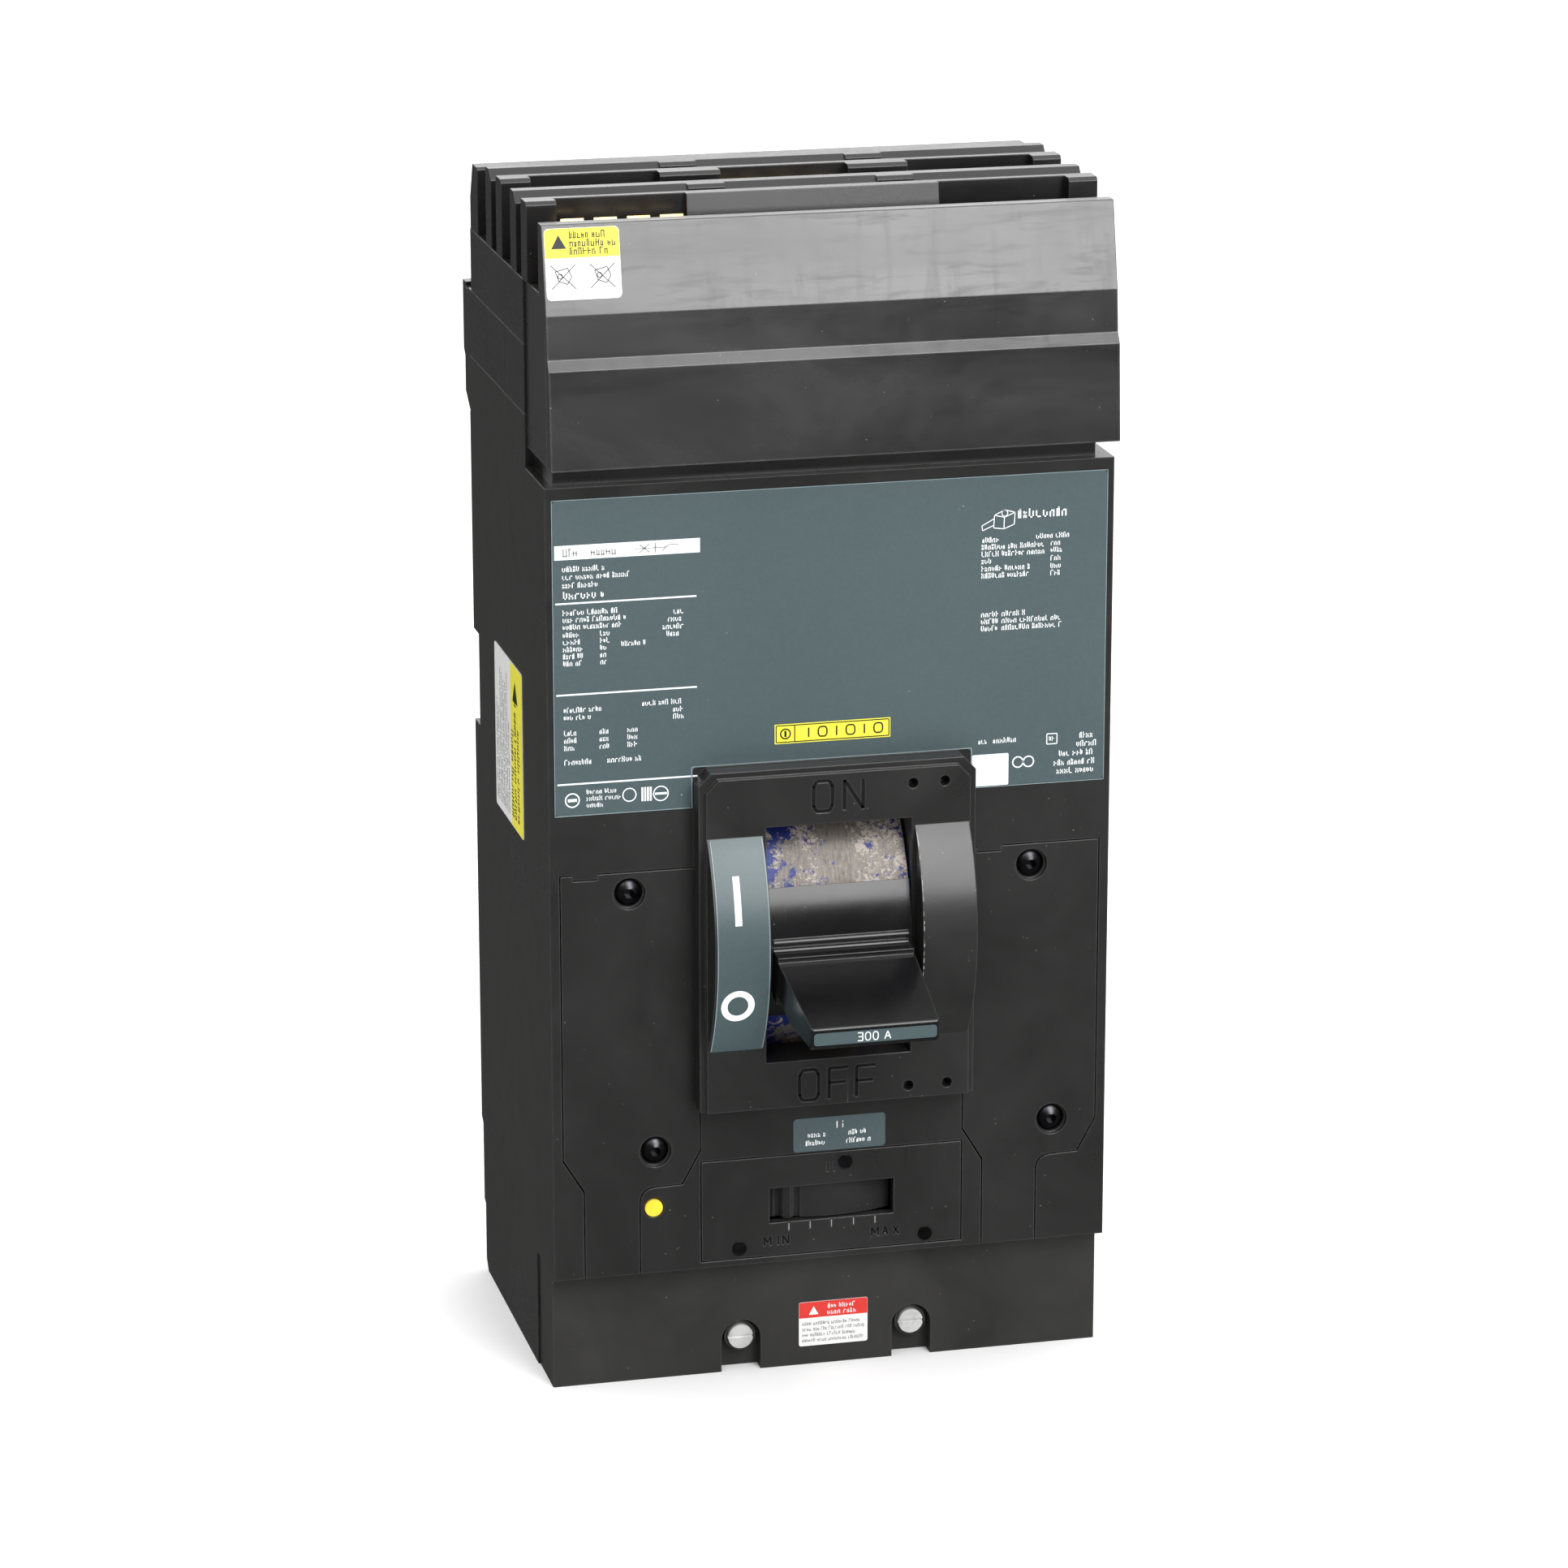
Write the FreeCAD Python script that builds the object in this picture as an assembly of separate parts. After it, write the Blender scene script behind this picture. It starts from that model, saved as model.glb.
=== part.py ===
import FreeCAD, Part
import math
import os

# Three-pole moulded case breaker with a plug-on line end, millimetres, +Z up.
# The origin is the middle of the base's flat back face; +X is to the right seen from
# the front, +Y points out of the back face, and the handle side faces -Y.
# Sketches use X, a depth behind the cover's front face and a height above the bottom edge.

WIDTH = 152.4
HALF = WIDTH / 2
DEPTH = 101.6
ORIGIN_HEIGHT = 160.0
POLE_PITCH = 50.8
POLES = (-POLE_PITCH, 0.0, POLE_PITCH)
WALL = 3.2
GAP = 0.3

PARTING = 50.8            # depth of the joint between cover and base
COVER_BOTTOM = 32.6
COVER_TOP = 249.4
BASE_TOP = 263.7
BLOCK_TOP = 282.2
SLOT_FLOOR = 299.3
HOUSING_TOP = 320.2
SHOULDER = 24.8           # depth where the line end steps back over the cover
FRONT_WALL = 6.5
PARTITION_INNER = 23.9    # pole partitions, as distances from the middle plane
PARTITION_OUTER = 26.9
CHAMBER_LOW = 36.0        # bottom of the pole chambers
CHAMBER_BACK = 93.4
LUG_FRONT = 23.4          # depth where the load end steps back behind the lug cover
BRACKET_FOOT = 248.0      # the back steps in above this height to seat the rear bracket
BRACKET_SEAT = 101.0

# Line-end walls (front depth, back depth, top height) and the bus-bar slots' middles
WALLS = ((18.9, 26.0, 320.2), (33.2, 40.3, 320.2), (52.5, 59.6, 320.2), (66.8, 73.9, 320.2))
JAW_DEPTHS = (12.8, 46.4, 80.0)
PANEL_BACK = 6.7

# Front face of the line-end cover, as (depth, height); both flat faces lean back a little
END_HALF = 75.6
END_LOW = (-6.75, 255.1)
BEVEL_LOW = (-5.1, 280.8)
BEVEL_HIGH = (-3.35, 283.4)
FACET_LOW = (-2.4, 294.6)
FACET_HIGH = (2.4, 317.0)

# Escutcheon round the handle
ESCUTCHEON_HALF = 37.5
ESCUTCHEON_LOW = 79.0
ESCUTCHEON_TOP = 172.3
ESCUTCHEON_FACE = -7.5
ARCH_R = 50.3
WINDOW_HALF = 19.75
WINDOW_LOW = 92.0
WINDOW_HIGH = 157.0

# Operating mechanism, as (depth, height)
HANDLE_PIVOT = (33.4, 125.5)
CROSSBAR_AXIS = (74.0, 112.0)
UPPER_PIVOT = (42.7, 127.7)
CRADLE_PIVOT = (38.5, 150.0)
TOGGLE_PIN = (50.98, 137.06)
ARM_PIN = (69.95, 125.92)
TRIP_BAR_AXIS = (50.8, 84.0)
LATCH_PIVOT = (58.0, 94.4)
HANDLE_REST = -10.4       # handle angle below square to the front, OFF
SHIELD_R = 43.0
PLATE_R = 41.9
HANDLE_PIN_R = 3.0
GRIP_TIP = -46.0
GRIP_HALF = 18.4
CROSSBAR_R = 8.5
CROSSBAR_END_R = 5.0
TRIP_BAR_R = 3.0
ARM_OPEN = 72.0           # contact arm direction at rest, above the depth axis
ARM_LENGTH = 50.0

ARMATURE_PIVOT_HEIGHT = 58.5
ADJUSTER_AXIS_DEPTH = 44.5
ADJUSTER_R = 43.2
STUD_R = 3.175
STUD_X = 23.8
STUD_HEIGHT = 9.6
LUG_BORE_R = 12.0
LUG_DEPTH = 62.5
LUG_BOTTOM = 5.0
LUG_TOP = 33.0
BINDING_SCREW_HEIGHT = 19.0
BINDING_SCREW_R = 5.0

# Fixings
CASE_SCREWS = ((-69.0, 128.0, 3.6), (69.0, 128.0, 3.6), (-69.0, 257.0, 26.0), (69.0, 257.0, 26.0))
CASE_SCREW_R = 2.0
CASE_HEAD_R = 4.0
STUD_BOSS_R = 5.4
PLATE_THICK = 3.0         # accessory and trip-adjust covers
ACCESSORY_X = (-73.2, 36.4)
ACCESSORY_SCREWS = ((18.4, 139.3), (24.9, 66.9))
ACCESSORY_SCREW_R = 1.6
TRIP_RIVETS = ((3.8, 59.7), (-25.5, 37.4), (26.0, 37.2))
TRIP_RIVET_R = 1.2
TRIP_BUTTON = (-48.9, 51.1)
TRIP_BUTTON_R = 2.45
POINTER_ANGLE = 15.7      # adjuster pointer left of straight ahead at rest, MIN
LABEL = 0.2


def back(depth):
    return depth - DEPTH


def up(height):
    return height - ORIGIN_HEIGHT


def at(x, depth, height):
    return FreeCAD.Vector(x, back(depth), up(height))


def box(x0, x1, d0, d1, h0, h1):
    return Part.makeBox(x1 - x0, d1 - d0, h1 - h0, at(x0, d0, h0))


def cyl(x, d, h, r, length, axis):
    return Part.makeCylinder(r, length, at(x, d, h), FreeCAD.Vector(*axis))


def rod_x(x0, x1, d, h, r):
    return cyl(x0, d, h, r, x1 - x0, (1, 0, 0))


def rod_y(x, h, d0, d1, r):
    return cyl(x, d0, h, r, d1 - d0, (0, 1, 0))


def rod_z(x, d, h0, h1, r):
    return cyl(x, d, h0, r, h1 - h0, (0, 0, 1))


def extrude(points, direction):
    wire = Part.makePolygon(points + [points[0]])
    return Part.Face(wire).extrude(FreeCAD.Vector(*direction))


def side_prism(outline, x0, x1):
    """Solid from a (depth, height) outline, running from x0 to x1."""
    return extrude([at(x0, d, h) for d, h in outline], (x1 - x0, 0, 0))


def front_prism(outline, d0, d1):
    """Solid from an (x, height) outline, running from depth d0 to d1."""
    return extrude([at(x, d0, h) for x, h in outline], (0, d1 - d0, 0))


def rounded_plate(x0, x1, h0, h1, d0, d1, r):
    plate = box(x0, x1, d0, d1, h0, h1)
    edges = [e for e in plate.Edges if abs(e.tangentAt(e.FirstParameter).y) > 0.9]
    return plate.makeFillet(r, edges)


def sector(r0, r1, a0, a1, x0, x1, centre=HANDLE_PIVOT):
    """Curved plate about an X axis; angles rise from the front direction, in degrees."""
    d, h = centre
    ring = rod_x(x0, x1, d, h, r1).cut(rod_x(x0 - 1, x1 + 1, d, h, r0))
    far = 4 * r1
    steps = max(1, int(math.ceil((a1 - a0) / 60.0)))
    fan = [(d, h)]
    for k in range(steps + 1):
        a = math.radians(a0 + (a1 - a0) * k / steps)
        fan.append((d - far * math.cos(a), h + far * math.sin(a)))
    return ring.common(side_prism(fan, x0, x1))


def polar(centre, radius, angle):
    """Point at an angle above the forward direction, as (depth, height)."""
    a = math.radians(angle)
    return (centre[0] - radius * math.cos(a), centre[1] + radius * math.sin(a))


def link(a, b, half, x0, x1):
    """Flat bar with round ends between two (depth, height) points."""
    length = math.hypot(b[0] - a[0], b[1] - a[1])
    nd = -(b[1] - a[1]) / length * half
    nh = (b[0] - a[0]) / length * half
    outline = [(a[0] + nd, a[1] + nh), (b[0] + nd, b[1] + nh)]
    outline += [(b[0] - nd, b[1] - nh), (a[0] - nd, a[1] - nh)]
    bar = side_prism(outline, x0, x1)
    return join(bar, rod_x(x0, x1, a[0], a[1], half), rod_x(x0, x1, b[0], b[1], half))


def strip(points, thickness, x0, x1):
    """Bent strap along square (depth, height) runs, thick across the run."""
    t = thickness / 2
    runs = []
    for (d0, h0), (d1, h1) in zip(points, points[1:]):
        lo_d, hi_d = min(d0, d1) - t, max(d0, d1) + t
        lo_h, hi_h = min(h0, h1) - t, max(h0, h1) + t
        runs.append(box(x0, x1, lo_d, hi_d, lo_h, hi_h))
    return join(*runs)


def join(first, *rest):
    if not rest:
        return first
    return first.fuse(list(rest)).removeSplitter()


def pair(a, b, side):
    """The span from a to b on the right (side 1) or mirrored to the left (side -1)."""
    return sorted((side * a, side * b))


def less(shape, *tools):
    return shape.cut(list(tools))


def coil(start, end, radius, wire, turns):
    """Helical spring between two points."""
    axis = end.sub(start)
    helix = Part.makeHelix(axis.Length / turns, axis.Length, radius)
    profile = Part.Wire(Part.makeCircle(wire, FreeCAD.Vector(radius, 0, 0), FreeCAD.Vector(0, 1, 0)))
    spring = Part.Wire(helix.Edges).makePipeShell([profile], True, True)
    turn = FreeCAD.Rotation(FreeCAD.Vector(0, 0, 1), axis)
    spring.Placement = FreeCAD.Placement(start, turn)
    return spring


def hexagon(x, h, r):
    """Corners of a hexagon, as (x, height)."""
    corners = []
    for k in range(6):
        a = math.radians(60 * k)
        corners.append((x + r * math.cos(a), h + r * math.sin(a)))
    return corners


def save(name, *shapes):
    solids = []
    for shape in shapes:
        solids += shape.Solids
    for solid in solids:
        if not solid.isValid():
            print("not valid:", name)
    whole = solids[0] if len(solids) == 1 else Part.makeCompound(solids)
    whole.exportStep("parts/" + name + ".step")
    print(name, len(solids))


def letter(strokes, x, height, depth_front, size, cut=0.35):
    """Engraving tools for a letter drawn as straight strokes in a 1 x 1 cell."""
    tools = []
    stroke = 0.45 if size < 4.0 else 0.9
    for ax, ah, bx, bh in strokes:
        p = (x + ax * size * 0.62, height + ah * size)
        q = (x + bx * size * 0.62, height + bh * size)
        length = math.hypot(q[0] - p[0], q[1] - p[1])
        nx = -(q[1] - p[1]) / length * stroke / 2
        nh = (q[0] - p[0]) / length * stroke / 2
        corners = [(p[0] + nx, p[1] + nh), (q[0] + nx, q[1] + nh)]
        corners += [(q[0] - nx, q[1] - nh), (p[0] - nx, p[1] - nh)]
        tools.append(front_prism(corners, depth_front - 1, depth_front + cut))
    return tools


LETTERS = {
    "O": ((0.15, 0, 0.85, 0), (0.85, 0, 1, 0.2), (1, 0.15, 1, 0.85), (1, 0.8, 0.85, 1),
          (0.85, 1, 0.15, 1), (0.15, 1, 0, 0.8), (0, 0.85, 0, 0.15), (0, 0.2, 0.15, 0)),
    "N": ((0, 0, 0, 1), (0, 1, 1, 0), (1, 0, 1, 1)),
    "F": ((0, 0, 0, 1), (0, 1, 1, 1), (0, 0.52, 0.85, 0.52)),
    "M": ((0, 0, 0, 1), (0, 1, 0.6, 0.3), (0.6, 0.3, 1.2, 1), (1.2, 0, 1.2, 1)),
    "I": ((0.3, 0, 0.3, 1),),
    "A": ((0, 0, 0.5, 1), (0.5, 1, 1, 0), (0.2, 0.35, 0.8, 0.35)),
    "X": ((0, 0, 1, 1), (0, 1, 1, 0)),
}


def word(text, x_list, height, depth_front, size):
    tools = []
    for character, x in zip(text, x_list):
        tools += letter(LETTERS[character], x, height, depth_front, size)
    return tools


# ---------------------------------------------------------------- shared cutting tools

def lug_wells(d0, d1):
    """Wire holes under the three lugs and the chambers the lugs stand in."""
    tools = []
    for x in POLES:
        tools.append(box(x - 17.2, x + 17.2, d0, d1, LUG_BOTTOM, LUG_TOP + 3))
        tools.append(rod_z(x, LUG_DEPTH, -1, LUG_BOTTOM + 1, LUG_BORE_R + 1.0))
    return tools


def stud_bosses(d0, d1):
    return [rod_y(s * STUD_X, STUD_HEIGHT, d0, d1, STUD_BOSS_R) for s in (-1, 1)]


def stud_holes(d0, d1):
    return [rod_y(s * STUD_X, STUD_HEIGHT, d0, d1, STUD_R - 0.1) for s in (-1, 1)]


def case_screw_bosses(d0, d1):
    """Square bosses from the screws out into the side walls."""
    bosses = []
    for x, h, head in CASE_SCREWS:
        side = 1 if x > 0 else -1
        x0, x1 = pair(abs(x) - 4, HALF - 1, side)
        bosses.append(box(x0, x1, max(d0, head), d1, h - 5, h + 5))
    return bosses


def case_screw_solid(x, h, head):
    screw = join(rod_y(x, h, head, head + 3.0, CASE_HEAD_R),
                 rod_y(x, h, head + 2.9, 66.0, CASE_SCREW_R))
    return less(screw, rod_y(x, h, head - 1, head + 1.6, 1.6))


def trip_bar_clearance():
    return rod_x(-70.5, 70.5, TRIP_BAR_AXIS[0], TRIP_BAR_AXIS[1], TRIP_BAR_R + 1.0)


def pole_spans():
    """The x spans of the three pole chambers."""
    inner = HALF - WALL
    return ((-inner, -PARTITION_OUTER), (-PARTITION_INNER, PARTITION_INNER),
            (PARTITION_OUTER, inner))


# ---------------------------------------------------------------- base

def make_base():
    outline = [(PARTING, 0.0), (95.0, 0.0), (97.6, 3.0), (97.6, 19.5), (99.5, 20.5),
               (99.5, 43.0), (DEPTH, 44.5), (DEPTH, BRACKET_FOOT), (BRACKET_SEAT, BRACKET_FOOT + 0.4),
               (BRACKET_SEAT, BASE_TOP), (PARTING, BASE_TOP)]
    body = side_prism(outline, -HALF, HALF)
    # one long chamber per pole, closed by the back wall and the two pole partitions
    cavities = [box(x0, x1, PARTING - 1, CHAMBER_BACK, CHAMBER_LOW, BASE_TOP - WALL)
                for x0, x1 in pole_spans()]
    # clip notches in both rear edges
    notches = []
    for s in (-1, 1):
        x0, x1 = pair(70.0, HALF + 1, s)
        notches.append(box(x0, x1, 94.3, DEPTH + 5, 161.0, 187.0))
    body = less(body, *(cavities + notches))
    # passages for the straps at the line end, wells for the lugs at the load end
    for x in POLES:
        body = less(body, box(x - 9, x + 9, 84.0, 92.6, BASE_TOP - WALL - 1, BASE_TOP + 1))
    body = less(body, *lug_wells(PARTING - 1, 80.2))
    # crossbar bearings: slots open to the front through both partitions
    d, h = CROSSBAR_AXIS
    for x0, x1 in ((-27.5, -23.5), (23.5, 27.5)):
        room = CROSSBAR_R + 0.4
        body = less(body, rod_x(x0, x1, d, h, room),
                    box(x0, x1, PARTING - 1, d, h - room, h + room))
    # bearing blocks for the crossbar's two ends, with an entry slot each
    bore = CROSSBAR_END_R + 0.05
    blocks = []
    seats = []
    for s in (-1, 1):
        x0, x1 = pair(69.5, HALF - WALL + 0.1, s)
        blocks.append(box(x0, x1, d - 9, CHAMBER_BACK + 0.1, h - 9, h + 9))
        x0, x1 = pair(69.4, 73.1, s)
        seats.append(box(x0, x1, d - 10, d, h - bore, h + bore))
        x0, x1 = pair(68.8, 73.2, s)
        seats.append(rod_x(x0, x1, d, h, bore))
    body = less(join(body, *blocks), *seats)
    body = less(body, trip_bar_clearance())
    body = join(body, *(stud_bosses(PARTING, 97.0) + case_screw_bosses(PARTING, 93.6)))
    holes = stud_holes(PARTING - 1, DEPTH + 1)
    holes += [rod_y(x, h, PARTING - 1, 66.0, CASE_SCREW_R) for x, h, head in CASE_SCREWS]
    body = less(body, *holes)
    save("base", body)


# ---------------------------------------------------------------- cover

def accessory_outline(x0, gap=0.0):
    g = gap
    points = [(x0 - g, 145.1 + g), (x0 + 3.2, 145.1 + g), (x0 + 3.2, 143.6 + g),
              (x0 + 10.0, 143.6 + g), (x0 + 10.0, 145.1 + g), (x0 + 37.0 + g, 145.1 + g),
              (x0 + 37.0 + g, 66.4 - g), (x0 + 32.0 + g, 57.3 - g)]
    for k in range(5):
        a = math.radians(90 + 22.5 * k)
        points.append((x0 + 24.1 + g + 3.7 * math.cos(a), 53.3 - g + 3.7 * math.sin(a)))
    points += [(x0 + 20.4 + g, COVER_BOTTOM - g), (x0 + 5.6 - g, COVER_BOTTOM - g),
               (x0 + 5.6 - g, 57.2 - g), (x0 - g, 66.4 - g)]
    return points


def window_sweep():
    """Room behind the window for the handle's curved plates."""
    d, h = HANDLE_PIVOT
    barrel = rod_x(-WINDOW_HALF, WINDOW_HALF, d, h, SHIELD_R + 0.5)
    barrel = barrel.common(box(-20, 20, -20, 30, WINDOW_LOW, WINDOW_HIGH))
    tail = rod_x(-WINDOW_HALF, WINDOW_HALF, d, h, PLATE_R + 0.5)
    return join(barrel, tail.common(box(-20, 20, -20, 30, 60, 190)))


def make_cover():
    body = join(box(-HALF, HALF, 0, PARTING, COVER_BOTTOM, COVER_TOP),
                box(-HALF, HALF, SHOULDER, PARTING, COVER_TOP - 1, BASE_TOP),
                box(-HALF, HALF, LUG_FRONT, PARTING, 0, COVER_BOTTOM + 1))
    inner = HALF - WALL
    cavities = []
    for x0, x1 in pole_spans():
        cavities.append(box(x0, x1, FRONT_WALL, PARTING + 1, CHAMBER_LOW, COVER_TOP - WALL))
        cavities.append(box(x0, x1, SHOULDER + WALL, PARTING + 1, COVER_TOP - 4, BASE_TOP - WALL))
    body = less(body, *cavities)
    # chamber in front of the lugs, open to the front behind the lug cover
    body = less(body, box(-inner, inner, 23.0, 44.0, 3.2, COVER_BOTTOM))
    body = less(body, *lug_wells(43.0, PARTING + 1))
    body = join(body, *stud_bosses(LUG_FRONT, PARTING))
    body = join(body, *case_screw_bosses(FRONT_WALL - 1, PARTING))
    # recessed neck between the body and the line end
    body = join(body, box(-73.4, 71.8, 3.0, SHOULDER + 0.1, COVER_TOP - 0.1, 254.9))
    # escutcheon with rounded top corners, side arches and window
    for inset, d0, d1 in ((0.0, ESCUTCHEON_FACE + 1.3, FRONT_WALL + 3.0),
                          (1.7, ESCUTCHEON_FACE, ESCUTCHEON_FACE + 1.5)):
        half = ESCUTCHEON_HALF - inset
        top = ESCUTCHEON_TOP - inset
        shape = [(-half, ESCUTCHEON_LOW), (half, ESCUTCHEON_LOW), (half, top - 3.5),
                 (half - 3.3, top), (3.3 - half, top), (-half, top - 3.5)]
        body = join(body, front_prism(shape, d0, d1))
    d, h = HANDLE_PIVOT
    for x0, x1 in ((-35.6, -20.6), (20.6, 35.4)):
        arch = rod_x(x0, x1, d, h, ARCH_R).common(box(x0, x1, -20, 0.1, 95.6, 155.6))
        body = join(body, arch)
    window = box(-WINDOW_HALF, WINDOW_HALF, -9, FRONT_WALL + 4, WINDOW_LOW, WINDOW_HIGH)
    body = less(body, window, window_sweep())
    body = less(body, *word("ON", (-6.9, 1.4), 160.4, ESCUTCHEON_FACE, 8.2))
    body = less(body, *word("OFF", (-10.7, -2.6, 4.9), 80.6, ESCUTCHEON_FACE, 8.5))
    dimples = ((20.1, 166.4), (28.7, 166.5), (19.2, 82.5), (29.8, 82.5))
    body = less(body, *[rod_y(x, hh, -8, -3, 1.4) for x, hh in dimples])
    # recesses and chambers under the accessory covers
    for x0 in ACCESSORY_X:
        body = less(body, front_prism(accessory_outline(x0, GAP), -1, PLATE_THICK))
        body = less(body, box(x0 + 4, x0 + 33, 2, FRONT_WALL + 1, 74, 132))
        for sx, sh in ACCESSORY_SCREWS:
            body = less(body, rod_y(x0 + sx, sh, 0, FRONT_WALL + 1, ACCESSORY_SCREW_R))
    # recess for the trip-adjust cover, with the opening the adjuster shows through
    body = less(body, box(-36.1, 36.3, -1, PLATE_THICK, 34.3, 63.0))
    body = less(body, box(-33.0, 33.0, 2, FRONT_WALL + 1, 42.0, 55.5))
    for x, hh in TRIP_RIVETS:
        body = less(body, rod_y(x, hh, 2, FRONT_WALL + 1, TRIP_RIVET_R))
    body = less(body, rod_y(TRIP_BUTTON[0], TRIP_BUTTON[1], -1, FRONT_WALL + 1,
                            TRIP_BUTTON_R + GAP))
    body = less(body, trip_bar_clearance())
    holes = stud_holes(20, PARTING + 1)
    for x, hh, head in CASE_SCREWS:
        holes.append(rod_y(x, hh, -1, PARTING + 1, CASE_SCREW_R))
        holes.append(rod_y(x, hh, -1, head + 3.0, CASE_HEAD_R))
    # room for the mechanism in the partitions and for the adjuster behind the front wall
    holes += [box(x0, x1, FRONT_WALL + 4, 31, 72, 182) for x0, x1 in ((-27.5, -23.5), (23.5, 27.5))]
    holes += [box(-27.5, 27.5, FRONT_WALL + 0.1, 44, 40, 62)]
    body = less(body, *holes)
    save("cover", body)


def make_accessory_cover(name, x0):
    plate = front_prism(accessory_outline(x0), 0.0, PLATE_THICK)
    holes = [rod_y(x0 + sx, sh, -1, 4, ACCESSORY_SCREW_R) for sx, sh in ACCESSORY_SCREWS]
    seats = [rod_y(x0 + sx, sh, -1, 1.4, 4.35) for sx, sh in ACCESSORY_SCREWS]
    if x0 < TRIP_BUTTON[0] < x0 + 24.3:
        holes.append(rod_y(TRIP_BUTTON[0], TRIP_BUTTON[1], -1, 4, TRIP_BUTTON_R + GAP))
    save(name, less(plate, *(holes + seats)))


def button_head_screw(x, h, seat, end, head_r, shank_r, socket_r):
    dome = Part.makeSphere(head_r * 1.35, at(x, seat + head_r * 0.95, h))
    dome = dome.common(rod_y(x, h, seat - 3, seat, head_r))
    shank = rod_y(x, h, seat, end, shank_r)
    socket = front_prism(hexagon(x, h, socket_r), seat - 5, seat + 0.6)
    return less(join(dome, shank), socket)


def make_accessory_screws():
    screws = []
    for x0 in ACCESSORY_X:
        for sx, sh in ACCESSORY_SCREWS:
            screws.append(button_head_screw(x0 + sx, sh, 1.4, 6.4, 3.9, ACCESSORY_SCREW_R, 1.45))
    save("accessory_cover_screws", *screws)


# ---------------------------------------------------------------- trip-adjust group

def make_trip_adjust_cover():
    plate = box(-35.8, 36.0, 0.0, PLATE_THICK, 34.6, 62.7)
    slot = box(-17.1, 17.2, -1, 4, 43.8, 53.7)
    ticks = [box(x - 0.25, x + 0.25, -1, 0.3, 41.4, 43.8) for x in (-11.8, -5.9, 0.0, 6.1, 12.1)]
    rivets = [rod_y(x, h, -1, 4, TRIP_RIVET_R) for x, h in TRIP_RIVETS]
    marks = word("MIN", (-18.6, -15.2, -13.4), 37.5, 0.0, 2.4)
    marks += word("MAX", (11.2, 14.2, 17.2), 37.6, 0.0, 2.4)
    marks += word("II", (-1.6, 0.3), 57.2, 0.0, 2.6)
    save("trip_adjust_cover", less(plate, *([slot] + ticks + rivets + marks)))
    rivets = []
    for x, h in TRIP_RIVETS:
        rivets.append(join(rod_y(x, h, -0.5, 0.0, 1.9), rod_y(x, h, -0.1, 6.4, TRIP_RIVET_R)))
    save("trip_cover_rivets", *rivets)


def make_adjuster():
    """Rotary thumb adjuster: a curved shell about an upright spindle."""
    low, high = 44.1, 53.4
    front = ADJUSTER_AXIS_DEPTH - ADJUSTER_R
    drum = rod_z(0, ADJUSTER_AXIS_DEPTH, low, high, ADJUSTER_R)
    drum = less(drum, rod_z(0, ADJUSTER_AXIS_DEPTH, low - 1, high + 1, ADJUSTER_R - 3))
    reach = math.radians(39)
    mid = math.radians(-POINTER_ANGLE)
    fan = [at(0, ADJUSTER_AXIS_DEPTH, low)]
    for k in range(5):
        a = mid - reach + 2 * reach * k / 4
        fan.append(at(90 * math.sin(a), ADJUSTER_AXIS_DEPTH - 90 * math.cos(a), low))
    shell = drum.common(extrude(fan, (0, 0, high - low)))
    arm = box(-3, 3, front + 1, ADJUSTER_AXIS_DEPTH - 3, 47.0, 50.4)
    ridge = box(-1.1, 1.1, front - 0.9, front + 1, low, high)
    grooves = [box(s * 2.6 - 0.9, s * 2.6 + 0.9, -2, front + 0.8, low - 1, high + 1)
               for s in (-1, 1)]
    hub = rod_z(0, ADJUSTER_AXIS_DEPTH, low, high, 4.4)
    moved = []
    for tool in [arm, ridge] + grooves:
        copy = tool.copy()
        copy.rotate(at(0, ADJUSTER_AXIS_DEPTH, 0), FreeCAD.Vector(0, 0, 1), -POINTER_ANGLE)
        moved.append(copy)
    body = less(join(shell, moved[0], hub), moved[2], moved[3])
    body = join(body, moved[1])
    body = less(body, rod_z(0, ADJUSTER_AXIS_DEPTH, low - 1, high + 1, 2.55))
    save("adjuster", body)
    foot = join(box(-5, 5, ADJUSTER_AXIS_DEPTH - 4, PARTING - 0.2, high + 0.4, high + 3.4),
                box(-23.9, 23.9, 46.0, PARTING - 0.2, high + 0.4, high + 3.4))
    spindle = rod_z(0, ADJUSTER_AXIS_DEPTH, low, high + 0.5, 2.5)
    save("adjuster_spindle", join(foot, spindle))


def make_push_to_trip():
    x, h = TRIP_BUTTON
    button = join(rod_y(x, h, -0.2, 21.0, TRIP_BUTTON_R), rod_y(x, h, 9.6, 11.0, 3.6))
    save("push_to_trip_button", join(button, rod_y(x, h, 20.9, 46.3, 1.2)))
    guide = box(x - 8, x + 8, 27.0, 29.0, h - 8, h + 33.0)
    guide = less(guide, rod_y(x, h, 26, 30, 1.28))
    foot = box(x - 8, x + 8, 28.9, PARTING, h - 8, h - 6)
    save("button_guide", join(guide, foot))
    save("button_return_spring", coil(at(x, 11.6, h), at(x, 26.4, h), 3.2, 0.45, 5))


# ---------------------------------------------------------------- labels

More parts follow.
